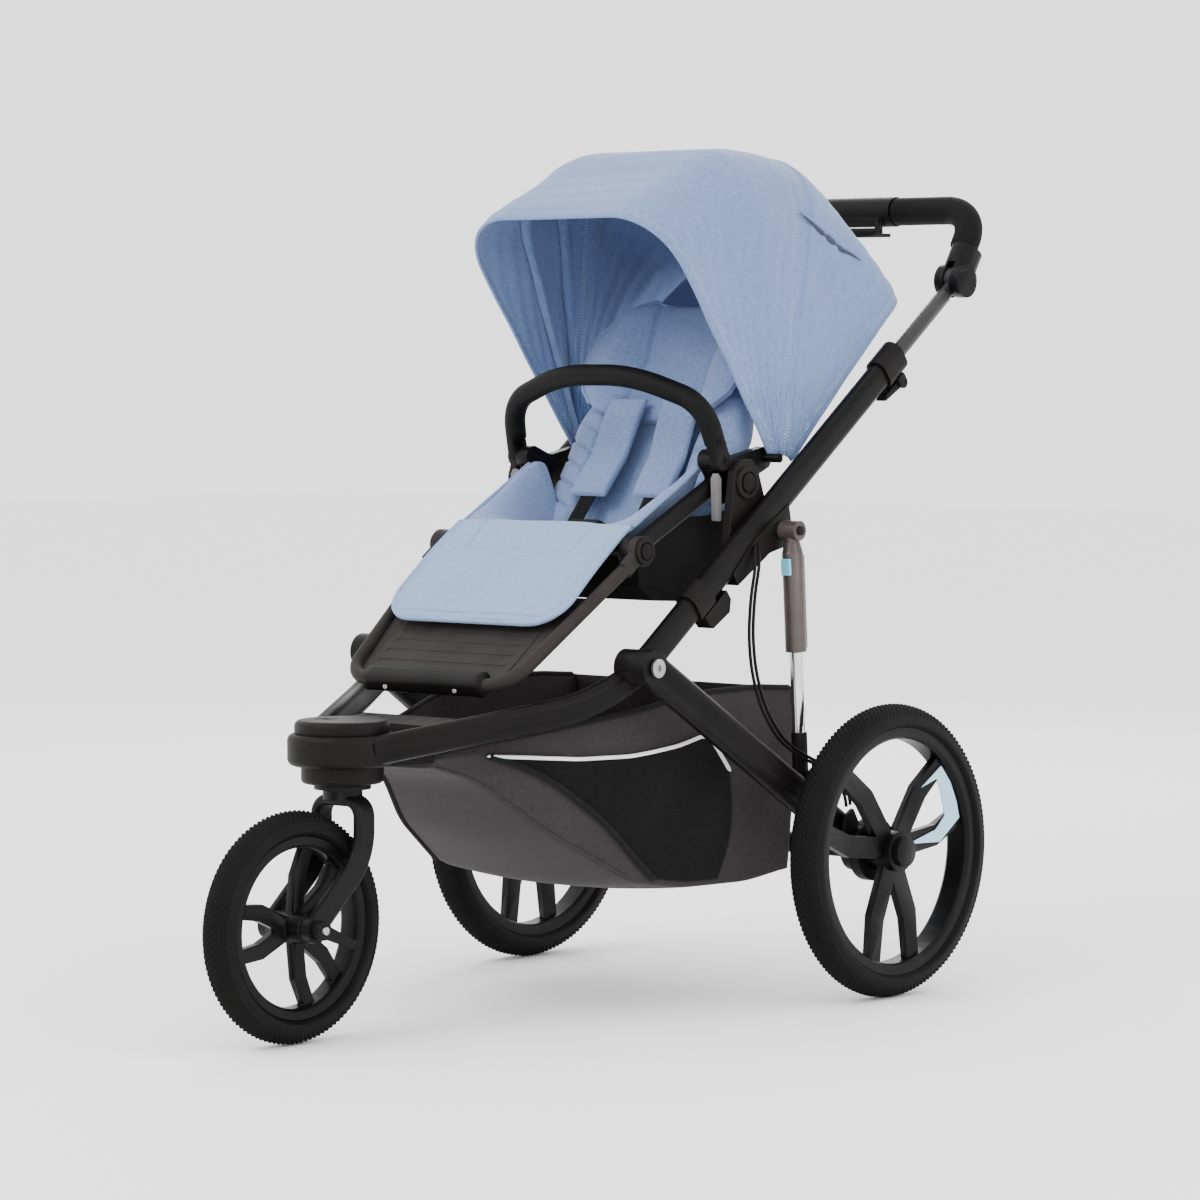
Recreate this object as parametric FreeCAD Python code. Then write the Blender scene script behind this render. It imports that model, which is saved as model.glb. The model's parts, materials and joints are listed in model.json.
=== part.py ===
import FreeCAD, Part
import math
import os

# Three-wheel baby stroller, millimetres.  +Z is up, the front is -Y and the width is X.  The origin is on the
# ground under the middle of the whole stroller.

V = FreeCAD.Vector
X_AXIS = V(1, 0, 0)
Y_AXIS = V(0, 1, 0)
Z_AXIS = V(0, 0, 1)

# ---- fits and clearances
RUN_FIT = 0.06          # radial clearance of a shaft that turns or slides in its bore
SIDE_GAP = 0.5          # gap between two faces that turn past each other
SOFT_GAP = 2.0          # gap between cloth parts and what is beside them

# ---- wheels
REAR_TYRE_R = 195.0
REAR_TYRE_HALF = 25.0
FRONT_TYRE_R = 146.0
FRONT_TYRE_HALF = 23.0
TYRE_DEPTH = 31.0       # tread to bead seat
RIM_DEPTH = 15.0
REAR_AXLE_Y = 284.0
FRONT_AXLE_Y = -515.0
AXLE_R = 8.0
FRONT_AXLE_R = 5.0
SPOKE_PAIRS = 3
SPOKE_SHARE = 0.074          # half an arm's width, as a share of the tyre's radius
BLADE_DEPTH = 32.0
FORK_ARCH_R = 20.0

# ---- steering
SWIVEL_Y = -424.0
STEERER_R = 10.0
FORK_HALF_GAP = 30.0
FORK_BLADE = 14.0
NOSE_R = 69.0

# ---- side rails and telescopic handle
RAIL_X = 212.0                  # half the width between the rails: most X sizes follow it
TRACK_HALF = RAIL_X + 108.0
RAIL_DEPTH = 38.0
RAIL_WIDTH = 25.0
RAIL_TOP = (429.0, 842.0)       # y, z of the upper mouth of the rail
RAIL_LOW = (-81.0, 464.0)       # y, z of another point of its straight centre line
NOSE_END = (58.0, -430.0, 362.0)
NOSE_BOTTOM = NOSE_END[2] - RAIL_DEPTH / 2.0 - 1.5
NOSE_TOP = NOSE_END[2] + RAIL_DEPTH / 2.0 + 1.0
CAP_TOP = NOSE_TOP + 17.0
PLATE_TOP = NOSE_BOTTOM - SIDE_GAP
PLATE_BOTTOM = PLATE_TOP - 22.0
CROWN_TOP = PLATE_BOTTOM - 7.0
BEND_TANGENT = 90.0
SLIDE_TUBE_R = 10.5
SLIDE_BORE_DEPTH = 420.0
SLIDE_LENGTH_IN = 240.0
HUB_DISTANCE = 181.6            # rail mouth to handle hub, along the rail
HUB_R = 23.0
HUB_BLADE = 11.0
BAR_R = 14.0
GRIP_R = 19.5
BAR_HALF_WIDTH = RAIL_X - 8.0
BAR_RISE = (64.0, 99.0)         # y, z from hub to crossbar
BAR_BEND_R = 52.0
COVER_HALF = 62.0

# ---- rear legs and struts
LEG_PIVOT = (-119.0, 457.0)
LEG_PIVOT_X = RAIL_X + 34.0
LEG_FOOT_X = RAIL_X + 59.0
LEG_DEPTH = 48.0
LEG_WIDTH = 22.0
PIVOT_R = 7.0
STRUT_TOP = (174.0, 621.0)
STRUT_FOOT_SHARE = 0.7336       # of the way down the leg
STRUT_FOOT_ABOVE = 30.0
STRUT_X = RAIL_X + 31.0
STRUT_TUBE_R = 14.0
STRUT_ROD_R = 9.0
STRUT_TUBE_LENGTH = 160.0
STRUT_PIN_R = 6.0
STRUT_FOOT_PLAY = 2.2           # clearance of the open pivot of the folding linkage

# ---- basket
BASKET_WALL = 2.5

# ---- seat
KNUCKLE = (134.0, 690.0)
KNUCKLE_R = 27.0
LEGREST_PIVOT = (-49.0, 600.0)
SEAT_TUBE_R = 10.0
LEGREST_FRONT = (-270.0, 437.0)
LEGREST_X = RAIL_X - 75.0
RECLINE_PIVOT = (92.0, 572.0)
RECLINE_PIN_R = 6.0
BACK_ANGLE = 58.0
BACK_LENGTH = 380.0
BACK_HALF = RAIL_X - 72.0
BACK_THICK = 42.0
SEAT_HALF = RAIL_X - 64.0

# ---- canopy
CANOPY_PIVOT = (216.0, 714.0)
CANOPY_HALF = RAIL_X - 22.0
CANOPY_WALL = 3.0
CANOPY_RISE = 18.0          # step from the front panel up to the middle one
CANOPY_FRONT_R = 395.0

os.makedirs("parts", exist_ok=True)
SIDES = (("left", -1.0), ("right", 1.0))


def save(name, shape):
    """Write one named piece."""
    shape.exportStep("parts/" + name + ".step")


def cyl(start, end, radius):
    """Round bar from one point to another."""
    a = V(*start)
    d = V(*end) - a
    return Part.makeCylinder(radius, d.Length, a, d)


def block(low, high):
    """Box from its lowest to its highest corner."""
    size = [h - l for l, h in zip(low, high)]
    return Part.makeBox(size[0], size[1], size[2], V(*low))


def fuse(first, *others):
    """One solid from touching solids."""
    return first.fuse(list(others)).removeSplitter()


def rounded_path(points, radii):
    """Wire of straight runs joined by tangent arcs, with one radius for each inner corner."""
    pts = [V(*p) for p in points]
    edges = []
    start = pts[0]
    for i in range(1, len(pts) - 1):
        a = (pts[i - 1] - pts[i]).normalize()
        b = (pts[i + 1] - pts[i]).normalize()
        half = a.getAngle(b) / 2.0
        reach = radii[i - 1] / math.tan(half)
        p = pts[i] + a * reach
        q = pts[i] + b * reach
        bisector = (a + b).normalize()
        centre = pts[i] + bisector * (radii[i - 1] / math.sin(half))
        middle = centre - bisector * radii[i - 1]
        edges.append(Part.LineSegment(start, p).toShape())
        edges.append(Part.Arc(p, middle, q).toShape())
        start = q
    edges.append(Part.LineSegment(start, pts[-1]).toShape())
    return Part.Wire(edges)


def tube_along(path, radius):
    """Round solid swept along a wire."""
    start = path.Edges[0].Vertexes[0].Point
    d = path.Edges[0].tangentAt(path.Edges[0].FirstParameter)
    ring = Part.Wire([Part.makeCircle(radius, start, d)])
    return path.makePipeShell([ring], True, False)


def oval_outline(start, d, up, depth, width):
    """Flat-sided oval across a direction: `depth` along `up` and `width` the other way."""
    u = (up - d * up.dot(d)).normalize()
    w = d.cross(u)
    r = width / 2.0
    s = depth / 2.0 - r
    corners = [start + u * s + w * r, start + u * s - w * r, start - u * s - w * r, start - u * s + w * r]
    top = Part.Arc(corners[0], start + u * (s + r), corners[1]).toShape()
    side = Part.LineSegment(corners[1], corners[2]).toShape()
    low = Part.Arc(corners[2], start - u * (s + r), corners[3]).toShape()
    back = Part.LineSegment(corners[3], corners[0]).toShape()
    return Part.Wire([top, side, low, back])


def oval_along(path, up, depth, width):
    """Flat-sided oval swept along a wire."""
    start = path.Edges[0].Vertexes[0].Point
    d = path.Edges[0].tangentAt(path.Edges[0].FirstParameter)
    return path.makePipeShell([oval_outline(start, d, up, depth, width)], True, False)


def oval_bar(start, end, up, depth, width):
    """Straight flat-sided oval bar from one point to another."""
    a = V(*start)
    run = V(*end) - a
    d = V(run).normalize()
    return Part.Face(oval_outline(a, d, up, depth, width)).extrude(run)


def plate_yz(points, x_low, x_high):
    """Flat plate with a polygon outline in Y and Z, from one X to another."""
    pts = [V(x_low, y, z) for y, z in points]
    face = Part.Face(Part.makePolygon(pts + [pts[0]]))
    return face.extrude(V(x_high - x_low, 0, 0))


def turned_x(points, centre):
    """Ring turned about an X axis: each point is its X from the centre and its radius."""
    cx, cy, cz = centre
    pts = [V(cx + x, cy, cz + r) for x, r in points]
    face = Part.Face(Part.makePolygon(pts + [pts[0]]))
    return face.revolve(V(cx, cy, cz), X_AXIS, 360)


def mirrored(shape, side):
    """The right-hand shape itself, or its mirror image for the left-hand side."""
    return shape if side > 0 else shape.mirror(V(0, 0, 0), X_AXIS)


def along(start, direction, distance):
    """Point at a distance along a direction in the Y-Z plane."""
    return (start[0] + direction[0] * distance, start[1] + direction[1] * distance)


# ---------------------------------------------------------------- side rails
run_y = RAIL_TOP[0] - RAIL_LOW[0]
run_z = RAIL_TOP[1] - RAIL_LOW[1]
rail_run = math.hypot(run_y, run_z)
RAIL_DIR = (run_y / rail_run, run_z / rail_run)
RAIL_UP = V(0, -RAIL_DIR[1], RAIL_DIR[0])
CORNER_BACK = 84.7                      # from RAIL_LOW down to the corner of the bend
corner = along(RAIL_LOW, RAIL_DIR, -CORNER_BACK)
rail_points = [
    (RAIL_X, RAIL_TOP[0], RAIL_TOP[1]),
    (RAIL_X, corner[0], corner[1]),
    NOSE_END,
]
to_nose = V(*rail_points[2]) - V(*rail_points[1])
to_mouth = V(*rail_points[0]) - V(*rail_points[1])
BEND_R = BEND_TANGENT * math.tan(to_nose.getAngle(to_mouth) / 2.0)
rail_path = rounded_path(rail_points, [BEND_R])
PIVOT_BOSS_X = LEG_PIVOT_X - LEG_WIDTH / 2.0 - SIDE_GAP


def rail_at(distance, x=RAIL_X, lift=0.0):
    """Point on the straight rail's centre line, measured from its mouth upwards along the rail."""
    y, z = along(RAIL_TOP, RAIL_DIR, distance)
    return (x, y + RAIL_UP.y * lift, z + RAIL_UP.z * lift)


def make_rail():
    """Oval aluminium rail with its bend, the boss of the leg pivot and the bore of the handle tube."""
    rail = oval_along(rail_path, RAIL_UP, RAIL_DEPTH, RAIL_WIDTH)
    boss = cyl((RAIL_X - 6, *LEG_PIVOT), (PIVOT_BOSS_X, *LEG_PIVOT), 23.0)
    bore = cyl(rail_at(1.0), rail_at(-SLIDE_BORE_DEPTH), SLIDE_TUBE_R + RUN_FIT)
    pivot_hole = cyl((RAIL_X - 4, *LEG_PIVOT), (PIVOT_BOSS_X + 1, *LEG_PIVOT), PIVOT_R + RUN_FIT)
    return fuse(rail, boss).cut(bore).cut(pivot_hole)


rail_right = make_rail()
rails = {"left": mirrored(rail_right, -1.0), "right": rail_right}
for side_name, side in SIDES:
    save("side_rail_" + side_name, rails[side_name])

# ---------------------------------------------------------------- nose, footwell tray and steering plate
nose = Part.makeCylinder(NOSE_R, NOSE_TOP - NOSE_BOTTOM, V(0, SWIVEL_Y, NOSE_BOTTOM))
nose = nose.makeFillet(9.0, [e for e in nose.Edges if abs(e.BoundBox.ZLength) < 0.01])
NOSE_BACK = SWIVEL_Y + 92.0
wedge_pts = [V(-58, SWIVEL_Y, NOSE_BOTTOM), V(58, SWIVEL_Y, NOSE_BOTTOM)]
wedge_pts += [V(70, NOSE_BACK, NOSE_BOTTOM), V(-70, NOSE_BACK, NOSE_BOTTOM)]
wedge = Part.Face(Part.makePolygon(wedge_pts + [wedge_pts[0]])).extrude(V(0, 0, NOSE_TOP - NOSE_BOTTOM - 6))
nose = fuse(nose, wedge)
nose_bore = Part.makeCylinder(STEERER_R + RUN_FIT, 60, V(0, SWIVEL_Y, NOSE_BOTTOM - 5))
nose = nose.cut(nose_bore)
for side_name, side in SIDES:
    rail_clear = mirrored(oval_along(rail_path, RAIL_UP, RAIL_DEPTH + 0.4, RAIL_WIDTH + 0.4), side)
    nose = nose.cut(rail_clear)
nose = max(nose.Solids, key=lambda s: s.Volume)
save("nose_housing", nose)

cap = Part.makeCylinder(NOSE_R - 9, CAP_TOP - NOSE_TOP - 0.2, V(0, SWIVEL_Y, NOSE_TOP + 0.2))
cap = cap.makeFillet(8.0, [e for e in cap.Edges if abs(e.BoundBox.ZMin - CAP_TOP) < 0.01])
for slot_x in (-30.0, -16.0):
    cap = cap.cut(block((slot_x, SWIVEL_Y - 22, CAP_TOP - 3), (slot_x + 7, SWIVEL_Y + 4, CAP_TOP + 1)))
save("nose_cap", cap)

TRAY_FRONT = NOSE_BACK + 1.0
TRAY_BACK = -232.0
TRAY_Z = 380.0


def rail_half_width(y):
    """Inner half-width between the lower rails at a given Y."""
    share = (y - NOSE_END[1]) / (corner[0] - NOSE_END[1])
    return NOSE_END[0] + share * (RAIL_X - NOSE_END[0]) - RAIL_WIDTH / 2.0 - 6.0


front_w = rail_half_width(TRAY_FRONT)
back_w = rail_half_width(TRAY_BACK)
tray_pts = [V(-front_w, TRAY_FRONT, TRAY_Z), V(front_w, TRAY_FRONT, TRAY_Z)]
tray_pts += [V(back_w, TRAY_BACK, TRAY_Z), V(-back_w, TRAY_BACK, TRAY_Z)]
tray = Part.Face(Part.makePolygon(tray_pts + [tray_pts[0]])).extrude(V(0, 0, 8))
for i in range(7):
    rib_y = TRAY_FRONT + 10 + i * 13
    half = rail_half_width(rib_y) - 12
    tray = tray.cut(block((-half, rib_y, TRAY_Z + 6), (half, rib_y + 6, TRAY_Z + 9)))
save("footwell_tray", tray)

plate = Part.makeCylinder(52.0, PLATE_TOP - PLATE_BOTTOM, V(0, SWIVEL_Y, PLATE_BOTTOM))
plate = plate.makeFillet(6.0, [e for e in plate.Edges if abs(e.BoundBox.ZMax - PLATE_BOTTOM) < 0.01])
plate = plate.cut(Part.makeCylinder(STEERER_R + RUN_FIT, 40, V(0, SWIVEL_Y, PLATE_BOTTOM - 5)))
LOCK_Y = SWIVEL_Y + 38.0
LOCK_R = 5.0
plate = plate.cut(Part.makeCylinder(LOCK_R + RUN_FIT, 40, V(0, LOCK_Y, PLATE_BOTTOM - 5)))
plate = plate.cut(block((-9, LOCK_Y - 7.5, PLATE_BOTTOM + 6), (9, SWIVEL_Y + 60, PLATE_TOP + 1)))
save("steering_plate", plate)

lock = Part.makeCylinder(LOCK_R, 12, V(0, LOCK_Y, PLATE_BOTTOM - 0.2))
lock_tab = block((-8, LOCK_Y - 7, PLATE_BOTTOM + 10), (8, SWIVEL_Y + 64, PLATE_BOTTOM + 15))
save("swivel_lock_lever", fuse(lock, lock_tab))

# ---------------------------------------------------------------- front fork and wheel
front_axle = (0.0, FRONT_AXLE_Y, FRONT_TYRE_R)
rear_axle = (0.0, REAR_AXLE_Y, REAR_TYRE_R)
flange = Part.makeCylinder(36.0, 6.0, V(0, SWIVEL_Y, CROWN_TOP))
flange = flange.cut(Part.makeCylinder(LOCK_R + 1.0, 40, V(0, LOCK_Y, CROWN_TOP - 5)))
steerer = Part.makeCylinder(STEERER_R, 48.0, V(0, SWIVEL_Y, CROWN_TOP + 5))
crown = Part.makeCylinder(25.0, 13.0, V(0, SWIVEL_Y, CROWN_TOP - 13.0))
fork_out = FORK_HALF_GAP + FORK_BLADE
ARCH_Z = CROWN_TOP - 7.0 - FORK_BLADE / 2.0
FORK_PATH = [(SWIVEL_Y, ARCH_Z), (SWIVEL_Y, CROWN_TOP - 84.0), (FRONT_AXLE_Y, FRONT_TYRE_R)]


def make_blade(side):
    """One side of the fork: it arches out of the crown, drops behind the tyre, then bends forward to the axle."""
    x = side * (FORK_HALF_GAP + FORK_BLADE / 2.0)
    points = [(-side * 2, SWIVEL_Y, ARCH_Z)] + [(x, y, z) for y, z in FORK_PATH]
    path = rounded_path(points, [FORK_ARCH_R, 80.0])
    blade = oval_along(path, Y_AXIS, BLADE_DEPTH, FORK_BLADE)
    half = FORK_BLADE / 2.0
    foot = cyl((x - half, *front_axle[1:]), (x + half, *front_axle[1:]), 17.0)
    return fuse(blade, foot)


fork = fuse(flange, steerer, crown, make_blade(-1.0), make_blade(1.0))
fork = fork.cut(cyl((-60, *front_axle[1:]), (60, *front_axle[1:]), FRONT_AXLE_R + RUN_FIT))
save("front_fork", fork)

axle = cyl((-fork_out - 7, *front_axle[1:]), (fork_out + 16, *front_axle[1:]), FRONT_AXLE_R)
axle_head = cyl((-fork_out - 7, *front_axle[1:]), (-fork_out - 0.3, *front_axle[1:]), 9.0)
save("front_axle", fuse(axle, axle_head))

lever_hub = cyl((fork_out + 0.4, *front_axle[1:]), (fork_out + 13, *front_axle[1:]), 12.0)
lever_arm_pts = [(FRONT_AXLE_Y + y, FRONT_TYRE_R + z) for y, z in ((-5, -7), (53, -28), (59, -19), (3, 8))]
lever_arm = plate_yz(lever_arm_pts, fork_out + 4, fork_out + 11)
front_lever = fuse(lever_hub, lever_arm)
front_lever = front_lever.cut(cyl((30, *front_axle[1:]), (80, *front_axle[1:]), FRONT_AXLE_R + RUN_FIT))
save("front_axle_lever", front_lever)


def make_tyre(centre, radius, half):
    """Round-shouldered tyre, open at the bead seat, which rests on the rim."""
    inner = radius - TYRE_DEPTH
    steps = 16
    outer = []
    for i in range(steps + 1):
        a = math.pi * i / steps
        outer.append((half * math.cos(a), inner + 9.0 + (TYRE_DEPTH - 9.0) * math.sin(a)))
    points = [(half - 6.0, inner)] + outer + [(-half + 6.0, inner)]
    return turned_x(points, centre)


def make_rim(centre, radius, half, bore, hub_half, hub_r, first_angle, out_side):
    """Deep rim, hub barrel and pairs of split spokes, moulded as one piece."""
    seat = radius - TYRE_DEPTH - 0.15
    lip = half - 6.0
    well = seat - RIM_DEPTH
    ring = [(lip, seat), (lip, well + 4), (lip - 5, well), (-lip + 5, well), (-lip, well + 4), (-lip, seat)]
    rim = turned_x(ring, centre)
    cx, cy, cz = centre
    hub = cyl((cx - hub_half, cy, cz), (cx + hub_half, cy, cz), hub_r)
    spokes = []
    inner_r = hub_r * 0.7
    outer_r = well + 4
    for k in range(SPOKE_PAIRS):
        middle = first_angle + k * 360.0 / SPOKE_PAIRS
        for lean in (-1.0, 1.0):
            near = math.radians(middle + lean * 15.0)
            knee = math.radians(middle + lean * 22.0)
            far = math.radians(middle + lean * 16.0)
            knee_r = inner_r + (outer_r - inner_r) * 0.56
            wide = SPOKE_SHARE * radius
            stations = [(inner_r, near, wide), (knee_r, knee, wide), (outer_r, far, 0.85 * wide)]
            left_edge = []
            right_edge = []
            for r, a, w in stations:
                along_r = V(0, math.cos(a), math.sin(a))
                across = V(0, -math.sin(a), math.cos(a))
                p = V(cx, cy, cz) + along_r * r
                left_edge.append(p + across * w)
                right_edge.append(p - across * w)
            outline = left_edge + right_edge[::-1]
            face = Part.Face(Part.makePolygon(outline + [outline[0]]))
            thick = 11.0
            face.translate(V(-thick / 2.0 + out_side * 2.0, 0, 0))
            spokes.append(face.extrude(V(thick, 0, 0)))
    rim = fuse(rim, hub, *spokes)
    return rim.cut(cyl((cx - 80, cy, cz), (cx + 80, cy, cz), bore + RUN_FIT))


save("front_tyre", make_tyre(front_axle, FRONT_TYRE_R, FRONT_TYRE_HALF))
front_hub_half = FORK_HALF_GAP - 1.0
front_rim = make_rim(front_axle, FRONT_TYRE_R, FRONT_TYRE_HALF, FRONT_AXLE_R, front_hub_half, 19.0, 180.0, 0.0)
save("front_rim", front_rim)

# ---------------------------------------------------------------- rear wheels
DRUM_INNER = LEG_FOOT_X + LEG_WIDTH / 2.0
DRUM_FACE = LEG_FOOT_X + 28.0
HUB_HALF = TRACK_HALF - DRUM_FACE - 0.6
for side_name, side in SIDES:
    centre = (side * TRACK_HALF, *rear_axle[1:])
    save("rear_tyre_" + side_name, make_tyre(centre, REAR_TYRE_R, REAR_TYRE_HALF))
    rim = make_rim(centre, REAR_TYRE_R, REAR_TYRE_HALF, AXLE_R, HUB_HALF, 27.0, 30.0, side)
    cap_start = side * (TRACK_HALF + HUB_HALF - 0.1)
    rim = fuse(rim, cyl((cap_start, *rear_axle[1:]), (cap_start + side * 9, *rear_axle[1:]), 20.0))
    save("rear_rim_" + side_name, rim)
    accent_x = side * (TRACK_HALF + 8.2)
    seat_r = REAR_TYRE_R - TYRE_DEPTH - RIM_DEPTH
    accent_pts = []
    # turn about the axle and share of the rim's inner radius
    accent_shape = [(54, 0.66), (46, 0.985), (34, 0.99), (22, 0.985), (13, 0.98), (2, 0.66), (10, 0.24)]
    accent_shape += [(13, 0.26), (13, 0.62), (19, 0.78), (36, 0.83), (44, 0.86)]
    for deg, share in accent_shape:
        a = math.radians(deg)
        r = share * seat_r
        accent_pts.append(V(accent_x, rear_axle[1] + r * math.cos(a), rear_axle[2] + r * math.sin(a)))
    face = Part.Face(Part.makePolygon(accent_pts + [accent_pts[0]]))
    save("wheel_accent_" + side_name, face.extrude(V(side * 2.0, 0, 0)))

# ---------------------------------------------------------------- rear legs, axle, drums
leg_y = REAR_AXLE_Y - LEG_PIVOT[0]
leg_z = REAR_TYRE_R - LEG_PIVOT[1]
leg_run = math.hypot(leg_y, leg_z)
foot_y, foot_z = along(LEG_PIVOT, (leg_y, leg_z), STRUT_FOOT_SHARE)
STRUT_FOOT = along((foot_y, foot_z), (-leg_z / leg_run, leg_y / leg_run), STRUT_FOOT_ABOVE)


def make_leg():
    """Deep oval leg beam from the pivot on the rail to the axle, with the ear of the strut foot."""
    start = (LEG_PIVOT_X, *LEG_PIVOT)
    end = (LEG_FOOT_X, REAR_AXLE_Y, REAR_TYRE_R)
    leg = oval_bar(start, end, V(0, -leg_z, leg_y), LEG_DEPTH, LEG_WIDTH)
    half = LEG_WIDTH / 2.0
    head = cyl((LEG_PIVOT_X - half, *LEG_PIVOT), (LEG_PIVOT_X + half, *LEG_PIVOT), LEG_DEPTH / 2.0)
    foot = cyl((LEG_FOOT_X - half, *end[1:]), (LEG_FOOT_X + half, *end[1:]), 30.0)
    ear = cyl((STRUT_X + 14, *STRUT_FOOT), (STRUT_X + 26, *STRUT_FOOT), 15.0)
    pin = cyl((STRUT_X - 10, *STRUT_FOOT), (STRUT_X + 16, *STRUT_FOOT), STRUT_PIN_R)
    leg = fuse(leg, head, foot, ear, pin)
    hole = cyl((LEG_PIVOT_X - 20, *LEG_PIVOT), (LEG_PIVOT_X + 20, *LEG_PIVOT), PIVOT_R + 0.02)
    axle_hole = cyl((LEG_FOOT_X - 20, *end[1:]), (LEG_FOOT_X + 20, *end[1:]), AXLE_R + 0.02)
    return leg.cut(hole).cut(axle_hole)


SCREW_GAP = 1.6                # the leg splays outwards, so square faces stand off it by this
leg_right = make_leg()
screws = []
drums = []
for side_name, side in SIDES:
    save("rear_leg_" + side_name, mirrored(leg_right, side))
    outer = LEG_PIVOT_X + LEG_WIDTH / 2.0
    screw = fuse(
        cyl((RAIL_X, *LEG_PIVOT), (outer + 3, *LEG_PIVOT), PIVOT_R),
        cyl((outer + SCREW_GAP, *LEG_PIVOT), (outer + 6, *LEG_PIVOT), 12.0),
    )
    screw = screw.cut(cyl((outer + 3, *LEG_PIVOT), (outer + 7, *LEG_PIVOT), 4.0))
    screws.append(mirrored(screw, side))
    drum = cyl((DRUM_INNER + 0.2, *rear_axle[1:]), (DRUM_FACE, *rear_axle[1:]), 42.0)
    arm_shape = ((-34, 20), (-26, 37), (-38, 57), (-52, 49), (-58, 23))
    arm_pts = [(REAR_AXLE_Y + y, REAR_TYRE_R + z) for y, z in arm_shape]
    arm = plate_yz(arm_pts, DRUM_INNER + 2, DRUM_INNER + 8)
    drum = fuse(drum, arm).cut(cyl(rear_axle, (TRACK_HALF, *rear_axle[1:]), AXLE_R + 0.02))
    drums.append(mirrored(drum, side))
save("leg_pivot_screws", Part.makeCompound(screws))
save("brake_drums", Part.makeCompound(drums))

axle_half = TRACK_HALF + HUB_HALF - 4.0
inner_face = LEG_FOOT_X - LEG_WIDTH / 2.0 - SCREW_GAP
rear_shaft = cyl((-axle_half, *rear_axle[1:]), (axle_half, *rear_axle[1:]), AXLE_R)
rear_tube = cyl((-inner_face, *rear_axle[1:]), (inner_face, *rear_axle[1:]), 14.0)
save("rear_axle", fuse(rear_shaft, rear_tube))

# ---------------------------------------------------------------- strut brackets and telescopic struts
bracket_pts = [(74, 568), (84, 552), (150, 592), (186, 600), (196, 626), (190, 655), (120, 612)]
bracket = plate_yz(bracket_pts, RAIL_X - 9, RAIL_X + 14)
rail_room = oval_along(rail_path, RAIL_UP, RAIL_DEPTH + 0.2, RAIL_WIDTH + 0.2)
bracket = bracket.cut(rail_room)
bracket = max(bracket.Solids, key=lambda s: s.Volume)
STRUT_INNER = STRUT_X - STRUT_TUBE_R
bracket_boss = cyl((RAIL_X + 4, *STRUT_TOP), (STRUT_INNER - SIDE_GAP, *STRUT_TOP), 12.0)
strut_pin = cyl((RAIL_X + 4, *STRUT_TOP), (STRUT_X + STRUT_TUBE_R + 3, *STRUT_TOP), STRUT_PIN_R)
bracket = fuse(bracket, bracket_boss, strut_pin).cut(rail_room)
save("strut_brackets", Part.makeCompound([mirrored(bracket, side) for side_name, side in SIDES]))

strut_length = math.hypot(STRUT_FOOT[0] - STRUT_TOP[0], STRUT_FOOT[1] - STRUT_TOP[1])
STRUT_DIR = ((STRUT_FOOT[0] - STRUT_TOP[0]) / strut_length, (STRUT_FOOT[1] - STRUT_TOP[1]) / strut_length)

BUTTON_FROM = 36.0
BUTTON_PROUD = 2.5
BUTTON_INNER = STRUT_ROD_R + 3.0        # leaves room for its travel outside the rod


def strut_at(distance, back=0.0, x=STRUT_X):
    """Point on the strut's centre line below its top pin, set back behind it if asked."""
    y, z = along(STRUT_TOP, STRUT_DIR, distance)
    return (x, y - STRUT_DIR[1] * back, z + STRUT_DIR[0] * back)


def make_strut_tube():
    """Outer tube of a strut: its forked head turns on the bracket pin and its bore guides the rod."""
    head = cyl((STRUT_INNER, *STRUT_TOP), (STRUT_X + STRUT_TUBE_R, *STRUT_TOP), 13.0)
    neck = cyl(strut_at(4), strut_at(20), 10.0)
    taper = Part.makeCone(10.0, STRUT_TUBE_R, 16, V(*strut_at(14)), V(0, *STRUT_DIR))
    tube = cyl(strut_at(29), strut_at(STRUT_TUBE_LENGTH), STRUT_TUBE_R)
    cover = cyl(strut_at(34, 12.0), strut_at(STRUT_TUBE_LENGTH - 4, 12.0), 8.0)
    strut = fuse(head, neck, taper, tube, cover)
    strut = strut.cut(cyl(strut_at(26), strut_at(STRUT_TUBE_LENGTH + 1), STRUT_ROD_R + RUN_FIT))
    strut = strut.cut(cyl((RAIL_X, *STRUT_TOP), (STRUT_X + 40, *STRUT_TOP), STRUT_PIN_R + RUN_FIT))
    return strut.cut(button_space(0.3, STRUT_ROD_R - 1))


def button_space(gap, inner):
    """Rounded window in the front of the strut tube, or the button in it, down to `inner` from the axis."""
    outer = STRUT_TUBE_R + BUTTON_PROUD
    d0 = V(*strut_at(BUTTON_FROM - gap, -outer))
    d1 = V(*strut_at(BUTTON_FROM + 22 + gap, -outer))
    lower = V(STRUT_X - 7 - gap, d0.y, d0.z)
    run = V(0, d1.y - d0.y, d1.z - d0.z)
    inward = V(0, -STRUT_DIR[1], STRUT_DIR[0]) * (outer - inner)
    across = V(14 + 2 * gap, 0, 0)
    face = Part.Face(Part.makePolygon([lower, lower + across, lower + across + run, lower + run, lower]))
    return face.extrude(inward)


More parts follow.
